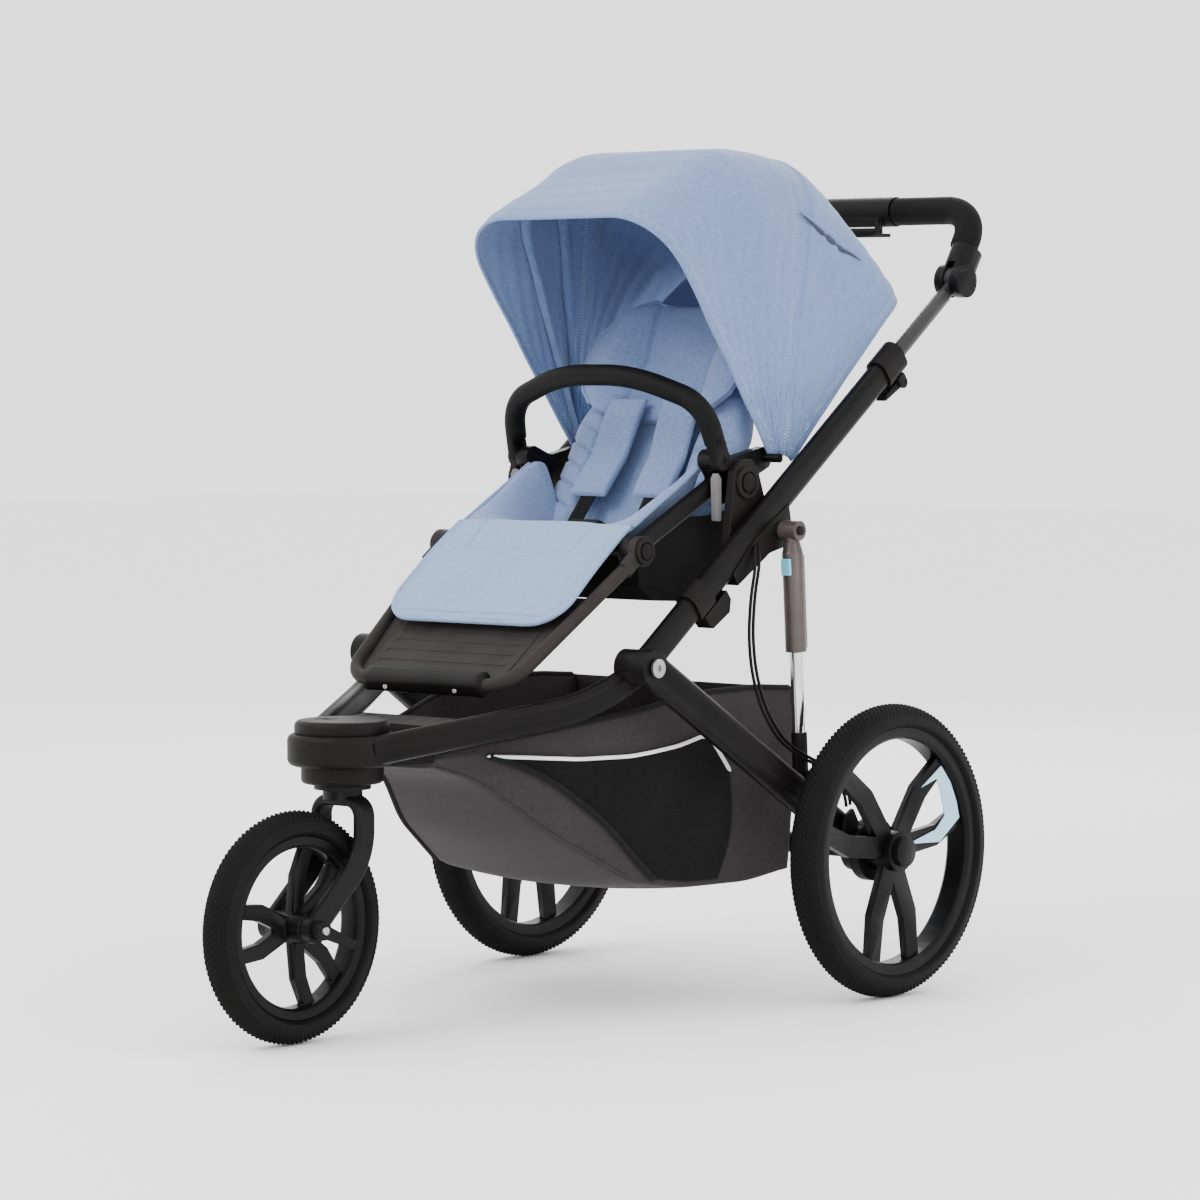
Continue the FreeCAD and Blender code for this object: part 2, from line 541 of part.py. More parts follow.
strut_tube = make_strut_tube()
rod_top = STRUT_TUBE_LENGTH - 22.0
rod_bottom = strut_length - 12.0
rod = cyl(strut_at(rod_top), strut_at(rod_bottom - 30), STRUT_ROD_R)
fitting = cyl(strut_at(rod_bottom - 52), strut_at(rod_bottom), 10.5)
eye = cyl((STRUT_X - 9, *STRUT_FOOT), (STRUT_X + 9, *STRUT_FOOT), 14.0)
fitting = fuse(fitting, eye)
fitting = fitting.common(block((STRUT_X - 9.5, 100, 150), (STRUT_X + 9.5, 300, 450)))
fitting = fitting.cut(cyl((RAIL_X, *STRUT_FOOT), (STRUT_X + 40, *STRUT_FOOT), STRUT_PIN_R + STRUT_FOOT_PLAY))
strut_rod = rod.cut(fitting)
strut_rod = strut_rod.Solids[0]
for side_name, side in SIDES:
    save("strut_tube_" + side_name, mirrored(strut_tube, side))
    save("strut_rod_" + side_name, mirrored(strut_rod, side))
    save("strut_button_" + side_name, mirrored(button_space(0.0, BUTTON_INNER), side))
save("strut_feet", Part.makeCompound([mirrored(fitting, side) for side_name, side in SIDES]))

# ---------------------------------------------------------------- brake cables
CABLE_R = 2.2
CABLE_APART = V(-1, -7, -2)
drum_y = REAR_AXLE_Y - 44.0
drum_z = REAR_TYRE_R + 62.0
cable_points = [
    (RAIL_X + 17.5, 122, 604),
    (RAIL_X + 26, 113, 578),
    (RAIL_X + 28, 101, 540),
    (RAIL_X + 28, 96, 490),
    (RAIL_X + 29, 101, 440),
    (RAIL_X + 31, 119, 390),
    (RAIL_X + 36, drum_y - 90, drum_z + 90),
    (RAIL_X + 44, drum_y - 54, drum_z + 67),
    (RAIL_X + 62, drum_y - 22, drum_z + 50),
    (RAIL_X + 75, drum_y - 2, drum_z + 19),
    (RAIL_X + 77, drum_y, drum_z),
]


def make_cable(shift):
    """Cable housing along its own route, straight runs joined by tangent arcs."""
    pts = [V(*p) + shift for p in cable_points]
    radii = []
    for i in range(1, len(pts) - 1):
        before = pts[i] - pts[i - 1]
        after = pts[i + 1] - pts[i]
        shorter = min(before.Length, after.Length)
        radii.append(0.45 * shorter / math.tan(before.getAngle(after) / 2.0))
    return tube_along(rounded_path([tuple(p) for p in pts], radii), CABLE_R)


cable_pair = [make_cable(V(0, 0, 0)), make_cable(CABLE_APART)]
cables = [mirrored(cable, side) for side_name, side in SIDES for cable in cable_pair]
save("brake_cables", Part.makeCompound(cables))

# ---------------------------------------------------------------- collars on the rails
HUB = rail_at(HUB_DISTANCE)
HUB_YZ = HUB[1:]
COLLAR_WALL = 4.0


def collar(low, high):
    """Sleeve round the rail between two distances from its mouth."""
    extra = 2 * COLLAR_WALL
    return oval_bar(rail_at(low), rail_at(high), RAIL_UP, RAIL_DEPTH + extra, RAIL_WIDTH + extra)


rail_body = oval_bar(rail_at(0.2), rail_at(-600), RAIL_UP, RAIL_DEPTH + 0.2, RAIL_WIDTH + 0.2)
rail_skin = RAIL_DEPTH / 2.0
LEVER_DROP = -rail_skin - 12.0          # the lever's pin, below the rail's centre line
LEVER_AT = rail_at(-8, RAIL_X, LEVER_DROP)[1:]
LEVER_HALF = 8.0
tube_bore = cyl(rail_at(-60), rail_at(60), SLIDE_TUBE_R + RUN_FIT)
height_collar = collar(-34, 12)
ears = []
for x_low in (RAIL_X - LEVER_HALF - 5.4, RAIL_X + LEVER_HALF + 0.4):
    ear = cyl((x_low, *LEVER_AT), (x_low + 5, *LEVER_AT), 8.0)
    root_pts = [rail_at(-16, 0, LEVER_DROP)[1:], rail_at(0, 0, LEVER_DROP)[1:]]
    root_pts += [rail_at(0, 0, -rail_skin - 1)[1:], rail_at(-16, 0, -rail_skin - 1)[1:]]
    ears += [ear, plate_yz(root_pts, x_low, x_low + 5)]
height_collar = fuse(height_collar, *ears).cut(rail_body).cut(tube_bore)
lever_bore = cyl((RAIL_X - 60, *LEVER_AT), (RAIL_X + 60, *LEVER_AT), 3.0 + RUN_FIT)
height_collar = height_collar.cut(lever_bore)
height_collar = max(height_collar.Solids, key=lambda s: s.Volume)
save("height_collars", Part.makeCompound([mirrored(height_collar, side) for side_name, side in SIDES]))

lever_knuckle = cyl((RAIL_X - LEVER_HALF, *LEVER_AT), (RAIL_X + LEVER_HALF, *LEVER_AT), 6.5)
lever_pin = cyl((RAIL_X - LEVER_HALF - 5, *LEVER_AT), (RAIL_X + LEVER_HALF + 5, *LEVER_AT), 3.0)
lever_shape = ((-8, 5.4), (-46, 5.4), (-50, 0), (-8, -6))
lever_pts = [rail_at(run, 0, LEVER_DROP + lift)[1:] for run, lift in lever_shape]
lever_plate = plate_yz(lever_pts, RAIL_X - LEVER_HALF, RAIL_X + LEVER_HALF)
height_lever = fuse(lever_knuckle, lever_pin, lever_plate)
for side_name, side in SIDES:
    save("height_lever_" + side_name, mirrored(height_lever, side))

FOLD_COLLAR = -516.0
fold_collar = collar(FOLD_COLLAR - 18, FOLD_COLLAR + 18)
lump_shape = ((-10, -1), (-6, -23), (34, -27), (46, -15), (46, -0.3))
lump_pts = [rail_at(FOLD_COLLAR + run, 0, lift - rail_skin)[1:] for run, lift in lump_shape]
lump = plate_yz(lump_pts, RAIL_X - 12, RAIL_X + 12)
lump = lump.makeFillet(4.0, [e for e in lump.Edges if e.BoundBox.XLength > 20 and e.CenterOfMass.z < 512])
fold_collar = fuse(fold_collar, lump).cut(rail_body)
fold_collar = max(fold_collar.Solids, key=lambda s: s.Volume)
save("fold_collars", Part.makeCompound([mirrored(fold_collar, side) for side_name, side in SIDES]))

# ---------------------------------------------------------------- handle: tubes, bar, grips, brake lever
BLADE_START = 34.0


def make_handle_tube():
    """Sliding tube that ends in a flat blade and a round eye for the handlebar."""
    tube = cyl(rail_at(-SLIDE_LENGTH_IN), rail_at(HUB_DISTANCE - BLADE_START), SLIDE_TUBE_R)
    blade = oval_bar(rail_at(HUB_DISTANCE - BLADE_START - 12), HUB, RAIL_UP, 20.0, HUB_BLADE)
    eye = cyl((RAIL_X - HUB_BLADE / 2.0, *HUB_YZ), (RAIL_X + HUB_BLADE / 2.0, *HUB_YZ), HUB_R - 3)
    eye_hole = cyl((RAIL_X - 20, *HUB_YZ), (RAIL_X + 20, *HUB_YZ), PIVOT_R + RUN_FIT)
    return fuse(tube, blade, eye).cut(eye_hole)


handle_tube = make_handle_tube()
for side_name, side in SIDES:
    save("handle_tube_" + side_name, mirrored(handle_tube, side))

rise = math.hypot(*BAR_RISE)
BAR_DIR = (BAR_RISE[0] / rise, BAR_RISE[1] / rise)
bar_y, bar_z = along(HUB_YZ, BAR_DIR, rise)
HOUSING_HALF = 20.0
slot_half = HUB_BLADE / 2.0 + SIDE_GAP


def bar_point(distance, side, x=BAR_HALF_WIDTH):
    """Point on a handlebar arm, measured up from its hub."""
    y, z = along(HUB_YZ, BAR_DIR, distance)
    return (side * x, y, z)


def clevis(side):
    """Forked housing at the foot of a handlebar arm, with its pin."""
    up = V(0, -BAR_DIR[1], BAR_DIR[0])
    foot = bar_point(0, side, RAIL_X)
    body = oval_bar(foot, bar_point(50, side, RAIL_X), up, 2 * HUB_R, 2 * HOUSING_HALF)
    low = side * RAIL_X - HOUSING_HALF
    disc = cyl((low, *HUB_YZ), (low + 2 * HOUSING_HALF, *HUB_YZ), HUB_R)
    slot = cyl((side * RAIL_X - slot_half, *HUB_YZ), (side * RAIL_X + slot_half, *HUB_YZ), HUB_R + 6)
    reach = HOUSING_HALF - 2
    pin = cyl((side * RAIL_X - reach, *HUB_YZ), (side * RAIL_X + reach, *HUB_YZ), PIVOT_R)
    return fuse(body, disc).cut(slot).fuse(pin)


bar_points = [bar_point(34, -1.0), bar_point(rise, -1.0), bar_point(rise, 1.0), bar_point(34, 1.0)]
bar_path = rounded_path(bar_points, [BAR_BEND_R, BAR_BEND_R])
handlebar = fuse(tube_along(bar_path, BAR_R), clevis(-1.0), clevis(1.0))
for side_name, side in SIDES:
    x = side * RAIL_X
    turning = cyl((x - slot_half, *HUB_YZ), (x + slot_half, *HUB_YZ), HUB_R + 6)
    turning = turning.cut(cyl((x - slot_half - 1, *HUB_YZ), (x + slot_half + 1, *HUB_YZ), PIVOT_R))
    handlebar = handlebar.cut(turning)
save("handlebar", handlebar)

grips = []
for side_name, side in SIDES:
    ends = [bar_point(52, side), bar_point(rise, side), (side * (COVER_HALF + 0.5), bar_y, bar_z)]
    path = rounded_path(ends, [BAR_BEND_R])
    grips.append(tube_along(path, GRIP_R).cut(tube_along(bar_path, BAR_R + 0.1)))
save("handle_grips", Part.makeCompound(grips))

COVER_R = 21.0
LEVER_YZ = (bar_y - 20.0, bar_z - 27.0)
cover = cyl((-COVER_HALF, bar_y, bar_z), (COVER_HALF, bar_y, bar_z), COVER_R)
pod = block((-48, bar_y - 20, bar_z - 20), (48, bar_y + 16, bar_z - 4))
cover_ears = []
for x_low in (-48.0, 42.0):
    cover_ears.append(block((x_low, bar_y - 25, bar_z - 33), (x_low + 6, bar_y - 14, bar_z - 8)))
cover = fuse(cover, pod, *cover_ears)
cover = cover.cut(cyl((-70, bar_y, bar_z), (70, bar_y, bar_z), BAR_R + 0.1))
cover = cover.cut(cyl((-60, *LEVER_YZ), (60, *LEVER_YZ), 2.5 + RUN_FIT))
save("handle_cover", cover)

brake = fuse(
    cyl((-41, *LEVER_YZ), (41, *LEVER_YZ), 4.5),
    cyl((-47.5, *LEVER_YZ), (47.5, *LEVER_YZ), 2.5),
    block((-36, LEVER_YZ[0], LEVER_YZ[1] - 8), (36, bar_y + 20, LEVER_YZ[1] - 3)),
    block((-36, LEVER_YZ[0] - 3, LEVER_YZ[1] - 8), (36, LEVER_YZ[0] + 3, LEVER_YZ[1])),
)
save("brake_lever", brake)

# ---------------------------------------------------------------- basket
# stations along Y: top half-width, top Z, bottom half-width, bottom Z, for rails 424 apart
BASKET_SPREAD = RAIL_X / 212.0
basket_stations = [
    (-325.0, 62.0, 352.0, 56.0, 336.0),
    (-262.0, 90.0, 362.0, 84.0, 322.0),
    (-182.0, 140.0, 376.0, 128.0, 246.0),
    (-62.0, 184.0, 396.0, 172.0, 172.0),
    (30.0, 190.0, 412.0, 182.0, 160.0),
    (160.0, 192.0, 414.0, 184.0, 157.0),
    (238.0, 192.0, 408.0, 184.0, 166.0),
]


def basket_body(grow, top_up, front, back):
    """Lofted tub; `grow` moves every wall outwards and `top_up` raises the rim."""
    wires = []
    for i, (y, top_w, top_z, low_w, low_z) in enumerate(basket_stations):
        y_here = front if i == 0 else back if i == len(basket_stations) - 1 else y
        top = top_w * BASKET_SPREAD + grow
        low = low_w * BASKET_SPREAD + grow
        pts = [V(-top, y_here, top_z + top_up), V(top, y_here, top_z + top_up)]
        pts += [V(low, y_here, low_z - grow), V(-low, y_here, low_z - grow)]
        wires.append(Part.makePolygon(pts + [pts[0]]))
    return Part.makeLoft(wires, True, True)


first_y = basket_stations[0][0]
last_y = basket_stations[-1][0]
basket = basket_body(0.0, 0.0, first_y, last_y)
basket_room = basket_body(-BASKET_WALL, 30.0, first_y + BASKET_WALL, last_y - BASKET_WALL)
basket = basket.cut(basket_room)
for side_name, side in SIDES:
    gap = 2 * SOFT_GAP
    clear = mirrored(oval_along(rail_path, RAIL_UP, RAIL_DEPTH + gap, RAIL_WIDTH + gap), side)
    boss_clear = mirrored(cyl((RAIL_X - 14, *LEG_PIVOT), (RAIL_X + 20, *LEG_PIVOT), 25.0), side)
    basket = basket.cut(clear).cut(boss_clear)
basket = max(basket.Solids, key=lambda s: s.Volume)
save("basket", basket)

# ---------------------------------------------------------------- seat mounts and seat frame
MOUNT_LOW = RAIL_X - 26.0
MOUNT_HIGH = RAIL_X - RAIL_WIDTH / 2.0 - 0.2
TONGUE_HALF = 8.0
TONGUE_X = RAIL_X - 22.0
mount_pts = [(96, 602), (112, 700), (122, 714), (146, 714), (158, 704), (174, 660), (140, 622)]
mount = plate_yz(mount_pts, MOUNT_LOW, MOUNT_HIGH)
tongue_room = TONGUE_HALF + RUN_FIT
slot_low = (MOUNT_LOW - 1, KNUCKLE[0] - tongue_room, KNUCKLE[1] - 35)
mount = mount.cut(block(slot_low, (TONGUE_X, KNUCKLE[0] + tongue_room, KNUCKLE[1] + 70)))
save("seat_mounts", Part.makeCompound([mirrored(mount, side) for side_name, side in SIDES]))

HUB_LOW = RAIL_X - 62.0
HUB_HIGH = RAIL_X - 42.0
MEMBER_X = RAIL_X - 54.0
MEMBER_WIDTH = 16.0
BUMPER_PIVOT = (106.0, 714.0)
BUMPER_END_R = 13.0
BOW_HUB_LOW = RAIL_X - 48.0
BOW_R = 2.6
BOW_EYE = 5.8


def make_seat_side():
    """One side of the seat frame: knuckle, side member, canopy arm, bumper ear and tongue."""
    knuckle = cyl((HUB_LOW, *KNUCKLE), (HUB_HIGH, *KNUCKLE), KNUCKLE_R)
    tongue_low = (HUB_LOW + 5, KNUCKLE[0] - TONGUE_HALF, KNUCKLE[1] - 34)
    tongue = block(tongue_low, (TONGUE_X - 0.2, KNUCKLE[0] + TONGUE_HALF, KNUCKLE[1] + 12))
    start = (MEMBER_X, *KNUCKLE)
    end = (MEMBER_X, *LEGREST_PIVOT)
    member = oval_bar(start, end, Z_AXIS, 26.0, MEMBER_WIDTH)
    low = MEMBER_X - MEMBER_WIDTH / 2.0
    joint = cyl((low, *LEGREST_PIVOT), (low + MEMBER_WIDTH, *LEGREST_PIVOT), 20.0)
    arm = plate_yz([(134, 664), (146, 716), (210, 728), (226, 702)], HUB_LOW, BOW_HUB_LOW - 0.5)
    boss = cyl((HUB_LOW, *CANOPY_PIVOT), (BOW_HUB_LOW - 0.5, *CANOPY_PIVOT), 15.0)
    pin = cyl((HUB_LOW, *CANOPY_PIVOT), (CANOPY_HALF, *CANOPY_PIVOT), 6.0)
    ear = cyl((HUB_LOW, *BUMPER_PIVOT), (HUB_HIGH, *BUMPER_PIVOT), 14.0)
    ear_web = plate_yz([(100, 700), (110, 728), (150, 712), (128, 664)], HUB_LOW, HUB_HIGH)
    ear_pin = cyl((HUB_LOW, *BUMPER_PIVOT), (HUB_HIGH + 13.5, *BUMPER_PIVOT), 5.0)
    rest_pin = cyl((low, *LEGREST_PIVOT), (low + MEMBER_WIDTH + 12, *LEGREST_PIVOT), 6.0)
    return fuse(knuckle, tongue, member, joint, arm, boss, pin, ear, ear_web, ear_pin, rest_pin)


seat_right = make_seat_side()
cross_bar = cyl((-MEMBER_X, *LEGREST_PIVOT), (MEMBER_X, *LEGREST_PIVOT), 8.0)
save("seat_frame", fuse(seat_right, mirrored(seat_right, -1.0), cross_bar))

strip_pts = [(96, 634), (105, 634), (105, 690), (99, 697), (94, 690)]
strip = plate_yz(strip_pts, HUB_HIGH + 1.0, HUB_HIGH + 11.0)
for side_name, side in SIDES:
    save("seat_lever_" + side_name, mirrored(strip, side))

# ---------------------------------------------------------------- seat shell, pads and backrest
# two cheeks and a floor, open behind so that the backrest can lean back between the cheeks
shell_pts = [(-27, 610), (-24, 552), (4, 533), (92, 528), (180, 583), (214, 640), (196, 652)]
shell_pts += [(118, 640), (60, 640)]
shell = plate_yz(shell_pts, -SEAT_HALF, SEAT_HALF)
room_pts = [(-23, 640), (-20, 555), (6, 537), (98, 532), (104, 500), (260, 520), (260, 700), (60, 700)]
shell = shell.cut(plate_yz(room_pts, -SEAT_HALF + 3, SEAT_HALF - 3))
shell = shell.cut(cyl((-200, *LEGREST_PIVOT), (200, *LEGREST_PIVOT), 21.0))
shell = max(shell.Solids, key=lambda s: s.Volume)
ARM_OUT = BACK_HALF + 3.5
for side_name, side in SIDES:
    recline_pin = cyl((BACK_HALF + 0.5, *RECLINE_PIVOT), (SEAT_HALF - 1, *RECLINE_PIVOT), RECLINE_PIN_R)
    shell = shell.fuse(mirrored(recline_pin, side))
save("seat_shell", shell)

pad_pts = [(-19, 604), (-16, 628), (4, 634), (84, 604), (92, 586), (86, 560), (10, 575)]
seat_pad = plate_yz(pad_pts, -SEAT_HALF + 9, SEAT_HALF - 9)
seat_pad = seat_pad.makeFillet(5.0, [e for e in seat_pad.Edges if e.BoundBox.XLength > 100])
save("seat_pad", seat_pad)

back_dir = (math.cos(math.radians(BACK_ANGLE)), math.sin(math.radians(BACK_ANGLE)))


def back_at(distance, behind):
    """Point of the backrest's side view: up along its face, and behind the face."""
    y, z = along(RECLINE_PIVOT, back_dir, distance)
    return (y + back_dir[1] * behind, z - back_dir[0] * behind)


BACK_START = 34.0
back_pts = [back_at(BACK_START, 0), back_at(BACK_LENGTH, 0), back_at(BACK_LENGTH, BACK_THICK)]
back_pts += [back_at(BACK_START, BACK_THICK)]
backrest = plate_yz(back_pts, -BACK_HALF, BACK_HALF)
backrest = backrest.makeFillet(12.0, [e for e in backrest.Edges if e.BoundBox.XLength > 100])
for side_name, side in SIDES:
    eye = cyl((BACK_HALF, *RECLINE_PIVOT), (ARM_OUT, *RECLINE_PIVOT), 13.0)
    arm_pts = [back_at(0, -8), back_at(90, 8), back_at(90, 34), back_at(0, 12)]
    back_arm = fuse(eye, plate_yz(arm_pts, BACK_HALF, ARM_OUT))
    pin_room = cyl((BACK_HALF - 1, *RECLINE_PIVOT), (SEAT_HALF, *RECLINE_PIVOT), RECLINE_PIN_R + RUN_FIT)
    back_arm = back_arm.cut(pin_room)
    backrest = backrest.fuse(mirrored(back_arm, side))
save("backrest", backrest)

straps = []
for side_name, side in SIDES:
    pts = [back_at(90, -1), back_at(250, -1), back_at(250, -15), back_at(90, -15)]
    low = min(side * 34, side * 78)
    straps.append(plate_yz(pts, low, low + 44))
save("shoulder_pads", Part.makeCompound(straps))

buckle_pts = [(34, 624), (82, 606), (86, 616), (38, 635)]          # it lies on the seat pad
save("harness_buckle", plate_yz(buckle_pts, -26, 26))

# ---------------------------------------------------------------- leg rest
rest_run = math.hypot(LEGREST_FRONT[0] - LEGREST_PIVOT[0], LEGREST_FRONT[1] - LEGREST_PIVOT[1])
rest_y = LEGREST_FRONT[0] - LEGREST_PIVOT[0]
rest_z = LEGREST_FRONT[1] - LEGREST_PIVOT[1]
REST_DIR = (rest_y / rest_run, rest_z / rest_run)
REST_X = MEMBER_X + MEMBER_WIDTH / 2.0 + 0.5 + 6.0


def rest_at(distance, above=0.0):
    """Point of the leg rest's side view: down along it, and above its plane."""
    y, z = along(LEGREST_PIVOT, REST_DIR, distance)
    return (y + REST_DIR[1] * above, z - REST_DIR[0] * above)


rest_corner = (LEGREST_X + 3, *rest_at(rest_run))
frame_points = [(-REST_X, *rest_at(28)), (-LEGREST_X - 3, *rest_at(rest_run)), rest_corner]
frame_points.append((REST_X, *rest_at(28)))
rest_tube = tube_along(rounded_path(frame_points, [46.0, 46.0]), SEAT_TUBE_R - 1)
rest_parts = []
for side_name, side in SIDES:
    blade = oval_bar((side * REST_X, *LEGREST_PIVOT), (side * REST_X, *rest_at(40)), Z_AXIS, 24.0, 12.0)
    disc = cyl((side * (REST_X - 6), *LEGREST_PIVOT), (side * (REST_X + 6), *LEGREST_PIVOT), 20.0)
    rest_parts += [blade, disc]
foot_half = RAIL_X - 90.0
foot_pts = [rest_at(128, -4), rest_at(rest_run + 2, -4), rest_at(rest_run + 2, 1), rest_at(128, 1)]
foot_plate = plate_yz(foot_pts, -foot_half, foot_half)
for i in range(6):
    d = 136 + i * 20
    groove_pts = [rest_at(d, 0), rest_at(d + 5, 0), rest_at(d + 5, 3), rest_at(d, 3)]
    groove = plate_yz(groove_pts, -foot_half + 12, foot_half - 12)
    foot_plate = foot_plate.cut(groove)
footrest = fuse(rest_tube, foot_plate, *rest_parts)
footrest = footrest.cut(cyl((-RAIL_X, *LEGREST_PIVOT), (RAIL_X, *LEGREST_PIVOT), 6.0 + RUN_FIT))
save("footrest", footrest)

rest_pad = plate_yz([rest_at(32, 11), rest_at(168, 11), rest_at(168, 23), rest_at(32, 25)], -HUB_LOW, HUB_LOW)
rest_pad = rest_pad.makeFillet(5.0, [e for e in rest_pad.Edges if e.BoundBox.XLength > 100])
save("legrest_pad", rest_pad)

# ---------------------------------------------------------------- bumper bar
BUMPER_X = HUB_HIGH + 0.5 + 6.5
bumper_half = [(BUMPER_X, *BUMPER_PIVOT), (RAIL_X - 44, 84, 788), (RAIL_X - 149, 63, 825)]
bumper_points = bumper_half + [(-x, y, z) for x, y, z in bumper_half[::-1]]
bumper_path = rounded_path(bumper_points, [60.0, 240.0, 240.0, 60.0])
bumper = tube_along(bumper_path, 13.0)
for side_name, side in SIDES:
    end_low = side * BUMPER_X - 6.5
    bumper = fuse(bumper, cyl((end_low, *BUMPER_PIVOT), (end_low + 13, *BUMPER_PIVOT), BUMPER_END_R))
for side_name, side in SIDES:
    inner = sorted((side * (BUMPER_X - 6.5), side * (BUMPER_X - 40)))
    outer = sorted((side * (BUMPER_X + 6.5), side * (BUMPER_X + 40)))
    for low, high in (inner, outer):
        bumper = bumper.cut(cyl((low, *BUMPER_PIVOT), (high, *BUMPER_PIVOT), 26.0))
bumper = bumper.cut(cyl((-RAIL_X, *BUMPER_PIVOT), (RAIL_X, *BUMPER_PIVOT), 5.0 + RUN_FIT))
bumper = max(bumper.Solids, key=lambda s: s.Volume)
save("bumper_bar", bumper)

# ---------------------------------------------------------------- canopy
FRONT_ANGLES = (98.0, 124.0)
MID_ANGLES = (70.0, 102.0)
MID_R = CANOPY_FRONT_R + CANOPY_RISE
FRONT_HALF = CANOPY_HALF - CANOPY_WALL - 2.0
REAR_HALF = FRONT_HALF - CANOPY_WALL - 2.0
CANOPY_CORNER = 88.0
CANOPY_INNER_R = 26.0
# the rear panel lies inside the other two: angle about the pivot and height above it of each line of its outline
REAR_LINES = ((75.0, -9.0), (70.0, -8.0), (59.5, -36.0), (45.3, -45.0), (42.3, -53.0))


def arch_face(half, top, low, corner):
    """Face in the X and Z plane of the pivot: an arch with round shoulders, `top` high."""
    py, pz = CANOPY_PIVOT
    d = corner * (1 - math.sqrt(0.5))
    left_top = V(-half, py, pz + top - corner)
    left_mid = V(-half + d, py, pz + top - d)
    left_in = V(-half + corner, py, pz + top)
    right_in = V(half - corner, py, pz + top)
    right_mid = V(half - d, py, pz + top - d)
    right_top = V(half, py, pz + top - corner)
    edges = [
        Part.LineSegment(V(-half, py, pz + low), left_top).toShape(),
        Part.Arc(left_top, left_mid, left_in).toShape(),
        Part.LineSegment(left_in, right_in).toShape(),
        Part.Arc(right_in, right_mid, right_top).toShape(),
        Part.LineSegment(right_top, V(half, py, pz + low)).toShape(),
        Part.LineSegment(V(half, py, pz + low), V(-half, py, pz + low)).toShape(),
    ]
    return Part.Face(Part.Wire(edges))


def canopy_band(half, top):
    """Face with the section of a cloth panel: an arch of one wall's thickness, open below."""
    outer = arch_face(half, top, CANOPY_INNER_R, CANOPY_CORNER)
    inner = arch_face(half - CANOPY_WALL, top - CANOPY_WALL, CANOPY_INNER_R - 10, CANOPY_CORNER - CANOPY_WALL)
    return outer.cut(inner)


def canopy_gore(half, top, angles):
    """Curved cloth panel between two bow angles, turned about the canopy's pivot."""
    band = canopy_band(half, top)
    centre = V(0, *CANOPY_PIVOT)
    band.rotate(centre, X_AXIS, angles[0] - 90.0)
    return band.Faces[0].revolve(centre, X_AXIS, angles[1] - angles[0])


def canopy_flats(half, lines):
    """Cloth panel drawn straight from each line of an outline to the next."""
    wires = []
    for angle, above in lines:
        band = canopy_band(half, CANOPY_FRONT_R + above)
        band.rotate(V(0, *CANOPY_PIVOT), X_AXIS, angle - 90.0)
        wires.append(band.Faces[0].OuterWire)
    return Part.makeLoft(wires, True, True)


def canopy_bow(half, top, angle, hub_low):
    """Flat spring-wire bow with its two eyes on the pivot."""
    py, pz = CANOPY_PIVOT
    pts = [(-half, py, pz), (-half, py, pz + top), (half, py, pz + top), (half, py, pz)]
    bow = tube_along(rounded_path(pts, [70.0, 70.0]), BOW_R)
    right_eye = cyl((hub_low, py, pz), (hub_low + BOW_EYE, py, pz), 12.0)
    bow = fuse(bow, right_eye, mirrored(right_eye, -1.0))
    bow = bow.cut(cyl((-half - 20, py, pz), (half + 20, py, pz), 6.0 + RUN_FIT))
    bow.rotate(V(0, py, pz), X_AXIS, angle - 90.0)
    return max(bow.Solids, key=lambda s: s.Volume)


front_eye = BOW_HUB_LOW + BOW_EYE + SIDE_GAP
bow_top = CANOPY_FRONT_R - CANOPY_WALL - 5 * BOW_R
save("canopy_front", canopy_gore(FRONT_HALF, CANOPY_FRONT_R, FRONT_ANGLES))
save("canopy_middle", canopy_gore(CANOPY_HALF, MID_R, MID_ANGLES))
save("canopy_front_bow", canopy_bow(front_eye + BOW_EYE / 2.0, bow_top, FRONT_ANGLES[1] - 2, front_eye))
middle_bow_half = BOW_HUB_LOW + BOW_EYE / 2.0
middle_bow = canopy_bow(middle_bow_half, bow_top - 3 * BOW_R, MID_ANGLES[1] - 6, BOW_HUB_LOW)
save("canopy_middle_bow", middle_bow)
save("canopy_rear", canopy_flats(REAR_HALF, REAR_LINES))
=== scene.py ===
"""A three-wheel baby stroller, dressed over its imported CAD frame. Metres, +Z up, the front wheel points to -Y."""
import json
import math

import bmesh
import bpy
import numpy as np
from mathutils import Matrix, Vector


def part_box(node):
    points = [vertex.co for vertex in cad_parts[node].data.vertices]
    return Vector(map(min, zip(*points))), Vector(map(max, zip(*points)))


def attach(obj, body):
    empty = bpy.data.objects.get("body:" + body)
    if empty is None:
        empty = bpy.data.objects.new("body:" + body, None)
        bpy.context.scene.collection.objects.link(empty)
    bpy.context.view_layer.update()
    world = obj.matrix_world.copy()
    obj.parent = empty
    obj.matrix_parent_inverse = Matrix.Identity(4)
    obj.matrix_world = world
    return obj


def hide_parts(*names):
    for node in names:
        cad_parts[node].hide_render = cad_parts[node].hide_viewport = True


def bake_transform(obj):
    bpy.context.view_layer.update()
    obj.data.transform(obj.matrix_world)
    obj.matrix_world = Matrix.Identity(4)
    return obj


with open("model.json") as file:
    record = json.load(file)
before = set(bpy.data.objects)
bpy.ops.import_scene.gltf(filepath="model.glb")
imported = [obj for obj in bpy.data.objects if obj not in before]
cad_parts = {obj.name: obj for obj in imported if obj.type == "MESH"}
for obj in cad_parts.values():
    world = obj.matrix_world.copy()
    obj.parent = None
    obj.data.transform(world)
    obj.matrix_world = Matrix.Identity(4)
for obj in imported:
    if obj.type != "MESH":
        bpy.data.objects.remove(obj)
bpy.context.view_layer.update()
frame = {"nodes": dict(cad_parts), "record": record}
stages = bpy.context.scene.collection

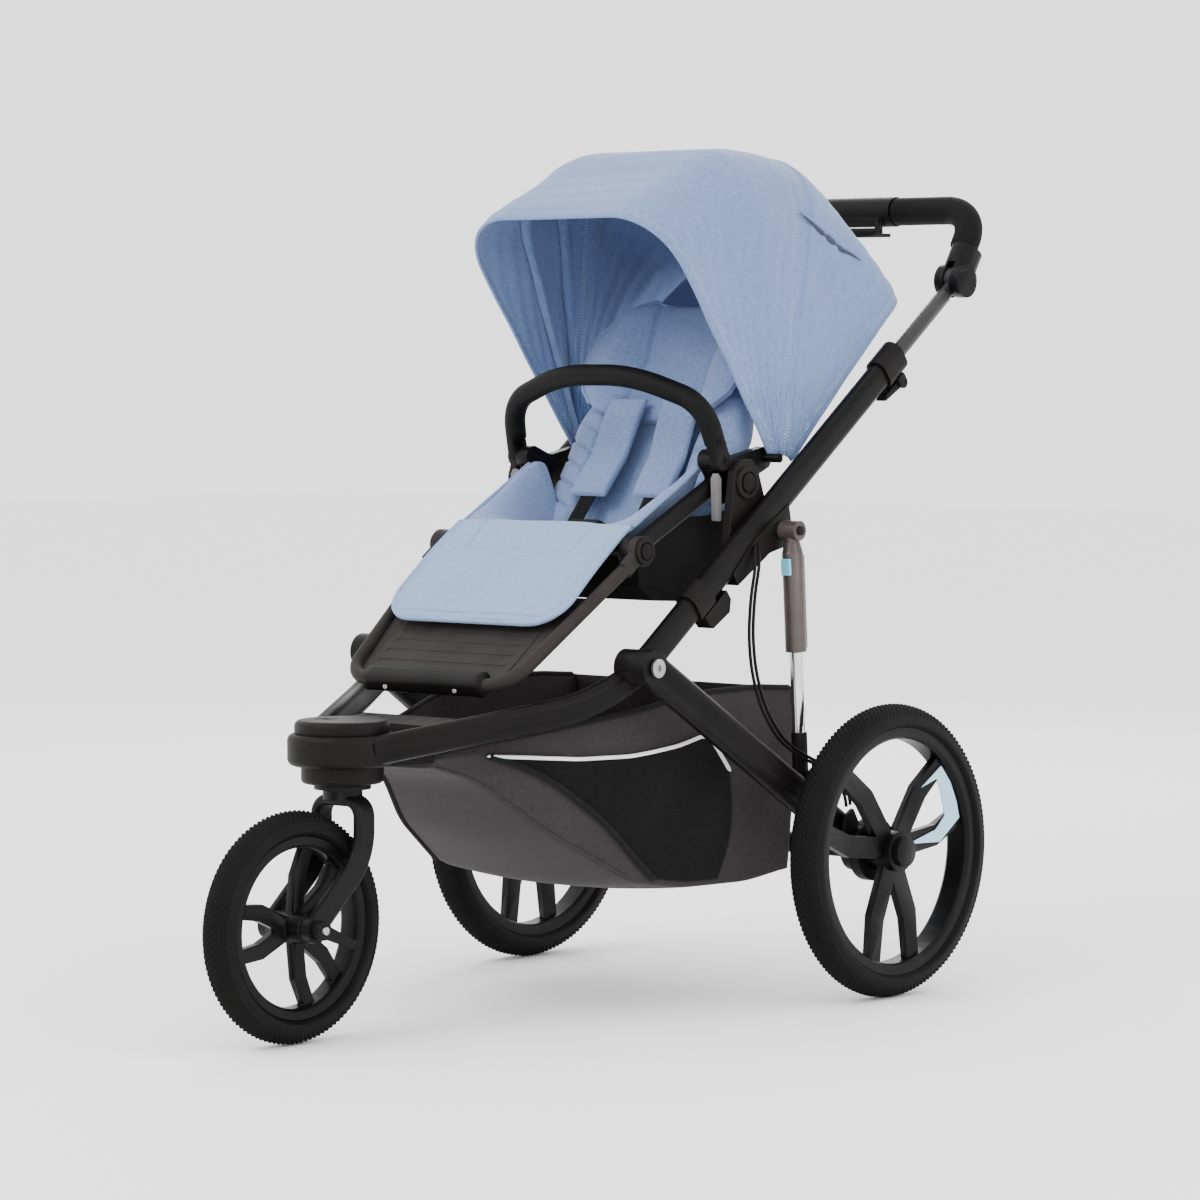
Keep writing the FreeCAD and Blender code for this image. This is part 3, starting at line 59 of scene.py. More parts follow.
# ---------------------------------------------------------------------------------------------------- camera
# A long lens set low in front of the stroller's right-hand corner, a little above the height of the seat.
# The three directions are the camera's right, up and back.
camera = bpy.data.objects.new("camera", bpy.data.cameras.new("camera"))
camera.data.lens = 138.9
camera.data.clip_end = 60.0
looking = Matrix(((0.75551, -0.03575, 0.65416), (0.65513, 0.04630, -0.75410), (-0.00333, 0.99829, 0.05840)))
camera.matrix_world = Matrix.Translation((4.0316, -4.5777, 0.8856)) @ looking.to_4x4()
stages.objects.link(camera)
bpy.context.scene.camera = camera

# ---------------------------------------------------------------------------------------------------- studio
# A plain white floor that meets a white surround, a wide soft light above the front, a weaker one from the
# side of the handle, and a strip behind for the edges of the dark tubes.
world = bpy.data.worlds.new("surround")
bpy.context.scene.world = world
world.use_nodes = True
world.node_tree.nodes["Background"].inputs["Color"].default_value = (1.0, 1.0, 1.0, 1.0)
world.node_tree.nodes["Background"].inputs["Strength"].default_value = 2.1

floor_half = 14.0
floor_mesh = bpy.data.meshes.new("floor")
floor_corners = [(-floor_half, -floor_half, 0), (floor_half, -floor_half, 0), (floor_half, floor_half, 0)]
floor_mesh.from_pydata(floor_corners + [(-floor_half, floor_half, 0)], [], [(0, 1, 2, 3)])
floor = bpy.data.objects.new("floor", floor_mesh)
stages.objects.link(floor)
floor_paint = bpy.data.materials.new("floor_paint")
floor_paint.use_nodes = True
floor_paint.node_tree.nodes["Principled BSDF"].inputs["Base Color"].default_value = (0.96, 0.96, 0.96, 1.0)
floor_paint.node_tree.nodes["Principled BSDF"].inputs["Roughness"].default_value = 0.9
floor_mesh.materials.append(floor_paint)


def studio_light(name, place, target, size, watts):
    """Square soft light of a given size, turned to face a point."""
    lamp = bpy.data.lights.new(name, "AREA")
    lamp.size = size
    lamp.energy = watts
    holder = bpy.data.objects.new(name, lamp)
    back = (np.array(place) - np.array(target)) / np.linalg.norm(np.array(place) - np.array(target))
    side = np.cross((0, 0, 1), back)
    side /= np.linalg.norm(side)
    turn = Matrix(np.column_stack((side, np.cross(back, side), back)).tolist())
    holder.matrix_world = Matrix.Translation(place) @ turn.to_4x4()
    stages.objects.link(holder)


studio_light("key_light", (-0.6, -3.4, 3.6), (0, 0, 0.6), 2.2, 120)
studio_light("side_light", (3.6, -0.4, 2.2), (0, 0, 0.6), 2.0, 40)
studio_light("rim_light", (-2.0, 3.2, 2.6), (0, 0, 0.7), 1.6, 60)


# --------------------------------------------------------------------------------- painted and moulded finishes
# Most hard parts are black: the tubes are powder coated, with a fine orange peel, and the mouldings have a
# spark-eroded grain. Edges that are handled have worn a little lighter.
def bare_material(name, **sockets):
    """Material whose shader sockets are set to plain values. Gives the material and its node tree."""
    made = bpy.data.materials.new(name)
    made.use_nodes = True
    shader = made.node_tree.nodes["Principled BSDF"]
    for socket, value in sockets.items():
        key = socket.replace("_", " ")
        shader.inputs[key].default_value = (*value, 1.0) if isinstance(value, tuple) else value
    return made, made.node_tree


def node(tree, kind, links=(), **settings):
    """New shader node; settings are its inputs or properties, links are (input name, source socket)."""
    made = tree.nodes.new(kind)
    for key, value in settings.items():
        spaced = key.replace("_", " ")
        if spaced in made.inputs:
            made.inputs[spaced].default_value = value
        else:
            setattr(made, key, value)
    for key, source in links:
        tree.links.new(source, made.inputs[key])
    return made


def ramp(tree, source, low, high, start=0.35, end=0.65):
    """Colour ramp between two colours, driven by a number."""
    made = node(tree, "ShaderNodeValToRGB", [("Fac", source)])
    made.color_ramp.elements[0].position = start
    made.color_ramp.elements[1].position = end
    made.color_ramp.elements[0].color = (*low, 1.0)
    made.color_ramp.elements[1].color = (*high, 1.0)
    return made.outputs["Color"]


def hard_finish(name, dark, light, roughness, grain, bump, wear=(0.014, 0.0135, 0.013), metallic=0.0, coat=0.0,
                gloss=0.10):
    """Paint or plastic: mottled between two tones, with a fine grain in relief and lighter worn edges."""
    made, tree = bare_material(name, Roughness=roughness, Metallic=metallic, Coat_Weight=coat,
                               Specular_IOR_Level=gloss)
    shader = tree.nodes["Principled BSDF"]
    place = node(tree, "ShaderNodeTexCoord").outputs["Object"]
    cloudy = node(tree, "ShaderNodeTexNoise", [("Vector", place)], Scale=14.0, Detail=5.0, Roughness=0.6)
    fine = node(tree, "ShaderNodeTexNoise", [("Vector", place)], Scale=grain, Detail=3.0)
    tone = ramp(tree, cloudy.outputs["Fac"], dark, light)
    edges = node(tree, "ShaderNodeNewGeometry").outputs["Pointiness"]
    worn = node(tree, "ShaderNodeMapRange", [("Value", edges)], From_Min=0.53, From_Max=0.60, To_Max=0.45)
    mix = node(tree, "ShaderNodeMix", [("Factor", worn.outputs["Result"])], data_type="RGBA")
    tree.links.new(tone, mix.inputs["A"])
    mix.inputs["B"].default_value = (*wear, 1.0)
    tree.links.new(mix.outputs["Result"], shader.inputs["Base Color"])
    relief = node(tree, "ShaderNodeBump", [("Height", fine.outputs["Fac"])], Strength=bump, Distance=0.0004)
    tree.links.new(relief.outputs["Normal"], shader.inputs["Normal"])
    return made


def softened(source, finish, width=0.0012, body=None):
    """Copy of a CAD node with merged corners, rounded edges and a finish; it stands for the node."""
    copy = frame["nodes"][source].data.copy()
    copy.name = source + "_rounded"
    work = bmesh.new()
    work.from_mesh(copy)
    bmesh.ops.remove_doubles(work, verts=work.verts, dist=1e-5)
    work.to_mesh(copy)
    work.free()
    copy.materials.clear()
    copy.materials.append(finish)
    piece = bpy.data.objects.new(source + "_rounded", copy)
    stages.objects.link(piece)
    if width:
        bevel = piece.modifiers.new("edges", "BEVEL")
        bevel.width = width
        bevel.segments = 2
        bevel.limit_method = "ANGLE"
        bevel.angle_limit = math.radians(38)
        bevel.use_clamp_overlap = True
        bevel.harden_normals = True
    copy.polygons.foreach_set("use_smooth", [True] * len(copy.polygons))
    copy.set_sharp_from_angle(angle=math.radians(38))
    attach(piece, body or body_of[source])
    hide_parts(source)
    return piece


body_of = {n: b for b, names in frame["record"]["behaviour"]["bodies"].items() for n in names}

powder_coat = hard_finish("powder_coat", (0.0024, 0.0020, 0.0019), (0.0042, 0.0036, 0.0034), 0.40, 1500, 0.12)
moulded_black = hard_finish("moulded_black", (0.0034, 0.0029, 0.0027), (0.0058, 0.0050, 0.0047), 0.50, 2600,
                            0.22)
fork_paint = hard_finish("fork_paint", (0.0040, 0.0040, 0.0042), (0.0065, 0.0063, 0.0065), 0.42, 1500, 0.12)
tray_plastic = hard_finish("tray_plastic", (0.014, 0.012, 0.0115), (0.022, 0.019, 0.018), 0.56, 1800, 0.3)

for side in ("left", "right"):
    softened("side_rail_" + side, powder_coat, 0.0012)
    softened("rear_leg_" + side, powder_coat, 0.0022)
    softened("height_lever_" + side, moulded_black, 0.0012)
for name, width in (("nose_housing", 0.002), ("nose_cap", 0.0016), ("steering_plate", 0.0014),
                    ("strut_brackets", 0.0018), ("height_collars", 0.0016), ("fold_collars", 0.0020),
                    ("seat_mounts", 0.0018), ("brake_drums", 0.0012), ("handle_cover", 0.0020),
                    ("brake_lever", 0.0014), ("swivel_lock_lever", 0.001), ("front_axle_lever", 0.0016),
                    ("strut_feet", 0.001)):
    softened(name, moulded_black, width)
softened("handlebar", powder_coat, 0.0016)
softened("rear_axle", powder_coat, 0.001)
softened("front_fork", fork_paint, 0.0014)
softened("footwell_tray", tray_plastic, 0.001)
softened("footrest", tray_plastic, 0.0010)
softened("seat_frame", powder_coat, 0.0018)

# ---------------------------------------------------------------------------- metal rods, tubes and coloured bits
# The strut rods are polished and chromed, the strut tubes and sliding handle tubes are anodised, and the
# release buttons and wheel inserts are pale blue mouldings.
chromed = hard_finish("chromed", (0.62, 0.60, 0.59), (0.68, 0.66, 0.65), 0.16, 500, 0.02,
                      (0.8, 0.8, 0.8), 1.0)
graphite = hard_finish("graphite", (0.060, 0.050, 0.048), (0.085, 0.072, 0.068), 0.34, 1400, 0.1,
                       (0.2, 0.19, 0.18), 0.55)
anodised = hard_finish("anodised", (0.020, 0.020, 0.021), (0.030, 0.029, 0.030), 0.34, 1200, 0.08,
                       (0.12, 0.12, 0.12), 0.4)
plain_steel = hard_finish("plain_steel", (0.30, 0.30, 0.31), (0.42, 0.42, 0.42), 0.38, 900, 0.15,
                          (0.6, 0.6, 0.6), 1.0)
pale_blue = hard_finish("pale_blue", (0.36, 0.56, 0.72), (0.42, 0.62, 0.77), 0.34, 1500, 0.06, (0.6, 0.75, 0.85))
button_blue = hard_finish("button_blue", (0.10, 0.37, 0.55), (0.13, 0.44, 0.62), 0.28, 1500, 0.05,
                          (0.35, 0.62, 0.75), coat=0.3)
lever_grey = hard_finish("lever_grey", (0.095, 0.090, 0.094), (0.13, 0.122, 0.128), 0.5, 1600, 0.2,
                         (0.2, 0.2, 0.2))

for side in ("left", "right"):
    softened("strut_tube_" + side, graphite, 0.0012)
    softened("strut_rod_" + side, chromed, 0.0008)
    softened("strut_button_" + side, button_blue, 0.0010)
    softened("handle_tube_" + side, anodised, 0.0010)
    softened("seat_lever_" + side, lever_grey, 0.0014)
softened("front_axle", plain_steel, 0.0008)
softened("leg_pivot_screws", plain_steel, 0.0010)


# ------------------------------------------------------------------------------------------------------ tyres
# Black rubber on a split bead: a smooth sidewall and a crown of small staggered knobs, about one every eight
# millimetres round the tyre.
def grid_piece(name, points, finish, wrap_rows=False, wrap_columns=False, uv=None, smooth=True):
    """Mesh from an array of rows and columns of points, joined into quads; either way may close on itself."""
    rows, columns = points.shape[:2]
    i = np.arange(rows if wrap_rows else rows - 1)
    j = np.arange(columns if wrap_columns else columns - 1)
    i, j = (a.ravel() for a in np.meshgrid(i, j, indexing="ij"))
    i2, j2 = (i + 1) % rows, (j + 1) % columns
    quads = np.column_stack((i * columns + j, i * columns + j2, i2 * columns + j2, i2 * columns + j))
    mesh = bpy.data.meshes.new(name)
    mesh.from_pydata(points.reshape(-1, 3).tolist(), [], quads.tolist())
    if uv is not None:
        layer = mesh.uv_layers.new(name="cut")
        flat = uv.reshape(-1, 2)[quads.ravel()]
        layer.data.foreach_set("uv", flat.astype(np.float32).ravel())
    if smooth:
        mesh.polygons.foreach_set("use_smooth", [True] * len(mesh.polygons))
    mesh.materials.append(finish)
    piece = bpy.data.objects.new(name, mesh)
    stages.objects.link(piece)
    return piece


def tyre_rubber(name):
    """Rubber, dull where it has picked up dust in broad patches, with a faint grain."""
    made, tree = bare_material(name, Roughness=0.66)
    shader = tree.nodes["Principled BSDF"]
    shader.inputs["Specular IOR Level"].default_value = 0.12
    place = node(tree, "ShaderNodeTexCoord").outputs["Object"]
    dust = node(tree, "ShaderNodeTexNoise", [("Vector", place)], Scale=22.0, Detail=8.0, Roughness=0.7)
    tree.links.new(ramp(tree, dust.outputs["Fac"], (0.0018, 0.0018, 0.0017), (0.0038, 0.0036, 0.0034)),
                   shader.inputs["Base Color"])
    grain = node(tree, "ShaderNodeTexNoise", [("Vector", place)], Scale=1400.0)
    relief = node(tree, "ShaderNodeBump", [("Height", grain.outputs["Fac"])], Strength=0.35, Distance=0.0004)
    tree.links.new(relief.outputs["Normal"], shader.inputs["Normal"])
    return made


rubber = tyre_rubber("tyre_rubber")
KNOB_PITCH = 0.0080
KNOB_HEIGHT = 0.0030


def tyre(source):
    """Tyre turned about the box centre of its CAD node.

    The section is an ellipse above the bead; the crown radius gains a smoothed square wave in the angle and
    in the arc across the section, shifted by half a pitch from row to row, which makes the knobs.
    """
    low, high = (np.array(v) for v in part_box(source))
    centre = (low + high) / 2
    outer = (high[2] - low[2]) / 2
    half = (high[0] - low[0]) / 2
    depth = 0.0308
    knobs = int(round(2 * math.pi * outer / KNOB_PITCH))
    turn = np.linspace(0, 2 * math.pi, knobs * 4, endpoint=False)[:, None]
    across = np.linspace(-0.06, math.pi + 0.06, 64)[None, :]
    rise = (depth - 0.009) * np.clip(np.sin(across), -0.2, 1)
    radius = outer - depth + 0.009 + rise - KNOB_HEIGHT
    width = (half - 0.0008) * np.cos(across)
    rows = np.round((across - math.pi / 2) / 0.21)
    on_crown = np.clip((1.12 - np.abs(across - math.pi / 2)) / 0.12, 0, 1)
    row_wave = np.clip(np.cos((across - math.pi / 2) / 0.21 * 2 * math.pi) * 1.6 + 0.9, 0, 1)
    turn_wave = np.clip(np.cos(turn * knobs + math.pi * (rows % 2)) * 1.8 + 0.7, 0, 1)
    lift = KNOB_HEIGHT * on_crown * row_wave * turn_wave + 0.0004 * np.cos(turn * 7) * (1 - on_crown)
    radius = radius + lift * np.sin(across)
    width = width + lift * np.cos(across) * 0.8
    ones = np.ones_like(turn)
    width = np.concatenate((ones * (half - 0.006), ones * (half - 0.0022), ones * width, ones * (-half + 0.0022),
                            ones * (-half + 0.006)), axis=1)
    radius = np.concatenate((ones * (outer - depth), ones * (outer - depth + 0.004), radius * ones,
                             ones * (outer - depth + 0.004), ones * (outer - depth)), axis=1)
    width, radius = width[:, ::-1], radius[:, ::-1]
    points = np.stack((centre[0] + width, centre[1] + radius * np.cos(turn), centre[2] + radius * np.sin(turn)), -1)
    piece = grid_piece(source + "_tread", points, rubber, wrap_rows=True, wrap_columns=True)
    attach(piece, body_of[source])
    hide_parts(source)
    return piece


for source in ("front_tyre", "rear_tyre_left", "rear_tyre_right"):
    tyre(source)

wheel_black = hard_finish("wheel_black", (0.0022, 0.0022, 0.0023), (0.0040, 0.0040, 0.0042), 0.36, 1800, 0.12)
softened("front_rim", wheel_black, 0.0022)
for side in ("left", "right"):
    softened("rear_rim_" + side, wheel_black, 0.0026)
    softened("wheel_accent_" + side, pale_blue, 0.0006)


# ----------------------------------------------------------------------------------------------- grips and bumper
# The hand grips are closed foam under a soft skin, and the bumper bar has a sewn leatherette sleeve: both are
# dull, with a fine pebbled grain.
grip_foam = hard_finish("grip_foam", (0.0030, 0.0027, 0.0026), (0.0056, 0.0050, 0.0047), 0.72, 900, 0.55)
leatherette = hard_finish("leatherette", (0.0024, 0.0021, 0.0021), (0.0044, 0.0040, 0.0038), 0.60, 700, 0.5)
softened("handle_grips", grip_foam, 0.003)
sleeve = softened("bumper_bar", leatherette, 0.0)
plump = sleeve.modifiers.new("foam", "DISPLACE")
plump.strength = 0.0012
plump.mid_level = 0.0
softened("brake_cables", powder_coat, 0.0)
softened("harness_buckle", moulded_black, 0.003)


# ------------------------------------------------------------------------------------------------- woven cloths
# The canopy and the seat liner are one pale blue heathered cloth: light threads crossing darker ones, with
# slubs a few centimetres long. The basket is a grey pack cloth with a black net pocket.
def woven(name, light, dark, thread, slub=0.5, sheen=0.25, relief=0.5):
    """Cloth from its UV in metres: crossed threads of a given pitch, slubs both ways and faint soiling."""
    made, tree = bare_material(name, Roughness=0.92, Sheen_Weight=sheen, Sheen_Roughness=0.5,
                               Specular_IOR_Level=0.15)
    shader = tree.nodes["Principled BSDF"]
    cut = node(tree, "ShaderNodeUVMap", uv_map="cut").outputs["UV"]
    streaks = []
    for across, along in ((1 / thread, 190.0), (190.0, 1 / thread)):
        stretch = node(tree, "ShaderNodeMapping", [("Vector", cut)])
        stretch.inputs["Scale"].default_value = (across, along, 1.0)
        streak = node(tree, "ShaderNodeTexNoise", [("Vector", stretch.outputs["Vector"])], Scale=0.5, Detail=3.0)
        streaks.append(streak.outputs["Fac"])
    both = node(tree, "ShaderNodeMath", operation="ADD")
    tree.links.new(streaks[0], both.inputs[0])
    tree.links.new(streaks[1], both.inputs[1])
    spread = node(tree, "ShaderNodeMapRange", [("Value", both.outputs["Value"])], From_Min=1.0 - slub * 0.5,
                  From_Max=1.0 + slub * 0.5)
    tone = ramp(tree, spread.outputs["Result"], dark, light, 0.0, 1.0)
    place = node(tree, "ShaderNodeTexCoord").outputs["Object"]
    soil = node(tree, "ShaderNodeTexNoise", [("Vector", place)], Scale=9.0, Detail=4.0)
    fade = node(tree, "ShaderNodeMapRange", [("Value", soil.outputs["Fac"])], To_Min=0.93, To_Max=1.04)
    faded = node(tree, "ShaderNodeVectorMath", [], operation="SCALE")
    tree.links.new(tone, faded.inputs[0])
    tree.links.new(fade.outputs["Result"], faded.inputs["Scale"])
    tree.links.new(faded.outputs["Vector"], shader.inputs["Base Color"])
    bump = node(tree, "ShaderNodeBump", [("Height", both.outputs["Value"])], Strength=relief, Distance=0.0006)
    tree.links.new(bump.outputs["Normal"], shader.inputs["Normal"])
    return made


def sum_of(tree, first, second, operation="ADD"):
    """Two numbers joined by a maths node; either may be a plain value on the node itself."""
    made = node(tree, "ShaderNodeMath", operation=operation)
    for k, source in enumerate((first, second)):
        if isinstance(source, (int, float)):
            made.inputs[k].default_value = source
        else:
            tree.links.new(source, made.inputs[k])
    return made.outputs["Value"]


def stitch_lines(material, lines, along, pitch=0.0045, thread=(0.27, 0.36, 0.52)):
    """Rows of stitches in sunk grooves whose colour is darkened as painted shade: each line is (distance socket,
    where, half width); dashes follow the `along` socket.
    """
    tree = material.node_tree
    shader = tree.nodes["Principled BSDF"]
    groove = None
    for distance, where, half in lines:
        row = node(tree, "ShaderNodeMath", operation="COMPARE")
        tree.links.new(distance, row.inputs[0])
        row.inputs[1].default_value = where
        row.inputs[2].default_value = half
        groove = (row.outputs["Value"] if groove is None
                  else sum_of(tree, groove, row.outputs["Value"], "MAXIMUM"))
    part = sum_of(tree, sum_of(tree, along, 1 / pitch, "MULTIPLY"), 0.0, "FRACT")
    dash = sum_of(tree, groove, sum_of(tree, part, 0.62, "LESS_THAN"), "MULTIPLY")
    base = shader.inputs["Base Color"].links[0].from_socket
    # Painted shade: the colour in each sunk groove is multiplied darker.
    painted_groove_shade = node(tree, "ShaderNodeMix", [("Factor", groove)], data_type="RGBA", blend_type="MULTIPLY")
    tree.links.new(base, painted_groove_shade.inputs["A"])
    painted_groove_shade.inputs["B"].default_value = (0.72, 0.74, 0.80, 1.0)
    threaded = node(tree, "ShaderNodeMix", [("Factor", dash)], data_type="RGBA")
    tree.links.new(painted_groove_shade.outputs["Result"], threaded.inputs["A"])
    threaded.inputs["B"].default_value = (*thread, 1.0)
    tree.links.new(threaded.outputs["Result"], shader.inputs["Base Color"])
    sunk = node(tree, "ShaderNodeBump", [("Height", groove)], Strength=0.8, Distance=0.0012, invert=True)
    tree.links.new(shader.inputs["Normal"].links[0].from_socket, sunk.inputs["Normal"])
    tree.links.new(sunk.outputs["Normal"], shader.inputs["Normal"])


CLOTH_LIGHT = (0.165, 0.235, 0.410)
CLOTH_DARK = (0.105, 0.160, 0.320)


def ease(t):
    """Smooth step from 0 to 1, held at both ends: 3t^2 - 2t^3."""
    t = np.clip(t, 0, 1)
    return t * t * (3 - 2 * t)


def arc_uv(points, origin=(0.0, 0.0)):
    """UV in metres for a grid: arc length along the columns as U and along the rows as V."""
    du = np.linalg.norm(np.diff(points, axis=1), axis=2)
    dv = np.linalg.norm(np.diff(points, axis=0), axis=2)
    u = np.concatenate((np.zeros((points.shape[0], 1)), np.cumsum(du, axis=1)), axis=1)
    v = np.concatenate((np.zeros((1, points.shape[1])), np.cumsum(dv, axis=0)), axis=0)
    return np.stack((u - u[:, -1:] / 2 + origin[0], v + origin[1]), -1)


def tube_piece(name, path, radius, finish, sides=10):
    """Round cord along a path of points, with flat ends drawn to a point; its UV is in metres."""
    path = np.asarray(path, float)
    forward = np.gradient(path, axis=0)
    forward /= np.linalg.norm(forward, axis=1)[:, None]
    hint = np.array((0.0, 0.31, 0.95)) if abs(forward[:, 0]).mean() > 0.5 else np.array((1.0, 0.05, 0.0))
    side = np.cross(forward, hint)
    side /= np.linalg.norm(side, axis=1)[:, None]
    up = np.cross(side, forward)
    turn = np.linspace(0, 2 * math.pi, sides, endpoint=False)[None, :, None]
    swell = np.ones(len(path)) * radius
    swell[[0, -1]] = radius * 0.05
    ring = np.cos(turn) * side[:, None] + np.sin(turn) * up[:, None]
    points = path[:, None] + ring * swell[:, None, None]
    return grid_piece(name, points, finish, wrap_columns=True, uv=arc_uv(points))


# ------------------------------------------------------------------------------------------------------ canopy
# One curved cloth hood from the front brim over two hidden bows to the rear panel, hung from the canopy
# pivots. It runs nearly straight between the bows, steps up where the roomier rear part begins, and folds.
CANOPY_PIVOT = np.array((0.216, 0.714))
hood_angle = np.radians(np.array((126.5, 120, 114, 109, 105.5, 102, 98, 92, 86, 82, 78.5, 75, 71, 65, 59.5, 52,
                                  45.3, 41.6, 39)))
hood_reach = np.array((0.3975, 0.3965, 0.3965, 0.3980, 0.4010, 0.4065, 0.4095, 0.4125, 0.4130, 0.4125, 0.4090,
                       0.4030, 0.3920, 0.3740, 0.3600, 0.3500, 0.3480, 0.3510, 0.3470))
HOOD_ROWS = 170
lean = np.linspace(hood_angle[0], hood_angle[-1], HOOD_ROWS)
reach = np.interp(-lean, -hood_angle, hood_reach)
kernel = np.hanning(9) / np.hanning(9).sum()
reach[4:-4] = np.convolve(reach, kernel, "valid")
half_width = 0.178 + 0.009 * ease((np.radians(112) - lean) / np.radians(20))
corner = 0.086 + 0.010 * ease((np.radians(104) - lean) / np.radians(14))
corner = corner - 0.064 * ease((np.radians(84) - lean) / np.radians(38))


def hood_grid(lean, reach, half_width, corner, sink=0.0):
    """Hood surface: at each lean angle, an arch of straight sides, quarter-round shoulders and a crowned top.

    Points are x and a distance r from the pivot line, then y = pivot + r cos, z = pivot + r sin of the lean;
    near the tips the cloth is drawn back and down past the pivots.
    """
    rise = np.linspace(0, 1, 70) ** 0.85
    shoulder = np.linspace(0, math.pi / 2, 26)[1:]
    top = np.linspace(0, 1, 60)[1:]
    lean, reach, half_width, corner = (a[:, None] for a in (lean, reach, half_width, corner))
    low = 0.021
    side_x = -half_width + 0 * rise
    side_r = low + rise * (reach - corner - low)
    turn_x = -half_width + corner * (1 - np.cos(shoulder))
    turn_r = reach - corner + corner * np.sin(shoulder)
    top_x = -(half_width - corner) * (1 - 2 * top)
    top_r = reach + 0 * top
    x = np.concatenate((side_x, turn_x, top_x, -turn_x[:, -2::-1], -side_x[:, ::-1]), axis=1)
    r = np.concatenate((side_r, turn_r, top_r, turn_r[:, -2::-1], side_r[:, ::-1]), axis=1)
    share = np.clip((r - low) / (reach - low), 0, 1)
    between = np.abs(np.sin((lean - np.radians(97)) / np.radians(27) * math.pi)) * (lean > np.radians(78))
    flat = np.abs(x) / half_width
    sag = 0.0055 * between * np.sin(math.pi * np.clip(share, 0, 1) * 0.5) ** 2
    folds = np.sin(r * 61 + lean * 23) * np.sin(lean * 41 + x * 17) * 0.0011
    pucker = np.sin(lean * 150 + r * 12) * 0.0011 * np.exp(-((r - 0.05) / 0.07) ** 2)
    r = r - sag * (1 - 0.6 * flat ** 4) - sink * (flat < 0.98) + folds * share * (1 - flat)
    x = (x * (1 - (sag * 0.8 * flat ** 6 + sink * (flat > 0.9)) / half_width)
         + np.sign(x) * (folds + pucker) * flat ** 4)
    x = x * (1 - 0.035 * (1 - share) ** 2)
    tip = (1 - share) ** 1.6
    y = CANOPY_PIVOT[0] + 0.004 + 0.014 * tip + r * np.cos(lean)
    points = np.stack((x, y, CANOPY_PIVOT[1] - 0.018 * tip + r * np.sin(lean)), -1)
    return points, r, lean + 0 * r


hood_points, hood_r, hood_lean = hood_grid(lean, reach, half_width, corner)
hood_cloth = woven("hood_cloth", CLOTH_LIGHT, CLOTH_DARK, 0.0009)
hood = grid_piece("canopy_hood", hood_points[:, ::-1], hood_cloth, uv=arc_uv(hood_points[:, ::-1]))
polar = hood.data.uv_layers.new(name="polar")
loops = np.empty(len(hood.data.loops), dtype=np.int32)
hood.data.loops.foreach_get("vertex_index", loops)
polar_values = np.stack((hood_lean[:, ::-1].ravel(), hood_r[:, ::-1].ravel()), -1)[loops]
polar.data.foreach_set("uv", polar_values.astype(np.float32).ravel())
tree = hood_cloth.node_tree
split = node(tree, "ShaderNodeSeparateXYZ",
             [("Vector", node(tree, "ShaderNodeUVMap", uv_map="polar").outputs["UV"])])
cut_split = node(tree, "ShaderNodeSeparateXYZ",
                 [("Vector", node(tree, "ShaderNodeUVMap", uv_map="cut").outputs["UV"])])
rows = []
for degrees, offsets in ((126.5, (0.009, 0.0125)), (84, (0.002,)), (39, (0.009, 0.0125))):
    gap = sum_of(tree, split.outputs["X"], math.radians(degrees), "SUBTRACT")
    gap = sum_of(tree, sum_of(tree, gap, split.outputs["Y"], "MULTIPLY"), 0.0, "ABSOLUTE")
    rows += [(gap, offset, 0.0006) for offset in offsets]
stitch_lines(hood_cloth, rows, cut_split.outputs["X"])
thick = hood.modifiers.new("thickness", "SOLIDIFY")
thick.thickness = 0.0018
thick.offset = -1.0
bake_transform(hood)
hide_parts("canopy_front", "canopy_middle", "canopy_rear")

edge_cloth = woven("edge_cloth", CLOTH_LIGHT, CLOTH_DARK, 0.0009)
for name, row in (("canopy_brim_hem", 0), ("canopy_rear_hem", -1)):
    hem = tube_piece(name, hood_points[row], 0.0024, edge_cloth)
    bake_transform(hem)
for name, degrees in (("canopy_front_channel", 109), ("canopy_middle_channel", 93)):
    row = int(np.argmin(np.abs(lean - math.radians(degrees))))
    rows_near = slice(row - 3, row + 4)
    inner = hood_grid(lean[rows_near], reach[rows_near], half_width[rows_near], corner[rows_near], 0.0)[0]
    bulge = 0.0085 - 0.0070 * np.linspace(-1, 1, 7)[:, None, None] ** 2
    middle = np.array((0.0, CANOPY_PIVOT[0], CANOPY_PIVOT[1] + 0.12))
    inward = middle - inner
    inward[..., 0] *= 1.4
    inward /= np.linalg.norm(inward, axis=2)[..., None]
    channel_points = inner + inward * bulge
    channel = grid_piece(name, channel_points, edge_cloth, uv=arc_uv(channel_points))
    channel_thick = channel.modifiers.new("thickness", "SOLIDIFY")
    channel_thick.thickness = 0.0016
    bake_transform(channel)
    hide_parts(name.replace("channel", "bow"))

# Behind the head a cloth panel closes the hood down to the top of the backrest, and a vent is cut in each rear
# corner: a folded lip over a dark sheet that is painted shadow under the lip.
back_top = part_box("backrest")[1]
drop = np.linspace(0, 1, 24)[:, None]
closing_x = np.linspace(-0.165, 0.165, 60)[None, :] * (1 - 0.12 * drop)
closing_y = 0.452 + (back_top[1] - 0.030 - 0.452) * drop - 0.010 * np.sin(math.pi * drop) + 0 * closing_x
closing_z = 0.958 + (back_top[2] - 0.035 - 0.958) * drop + 0.003 * np.sin(closing_x * 60) * drop
closing_points = np.stack((closing_x, closing_y, closing_z), -1)
closing = grid_piece("canopy_back_panel", closing_points, edge_cloth, uv=arc_uv(closing_points))
closing_thick = closing.modifiers.new("thickness", "SOLIDIFY")
closing_thick.thickness = 0.0018
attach(closing, "seat")
vent_shadow_cloth = woven("vent_shadow_cloth", (0.030, 0.045, 0.080), (0.016, 0.024, 0.045), 0.0009)
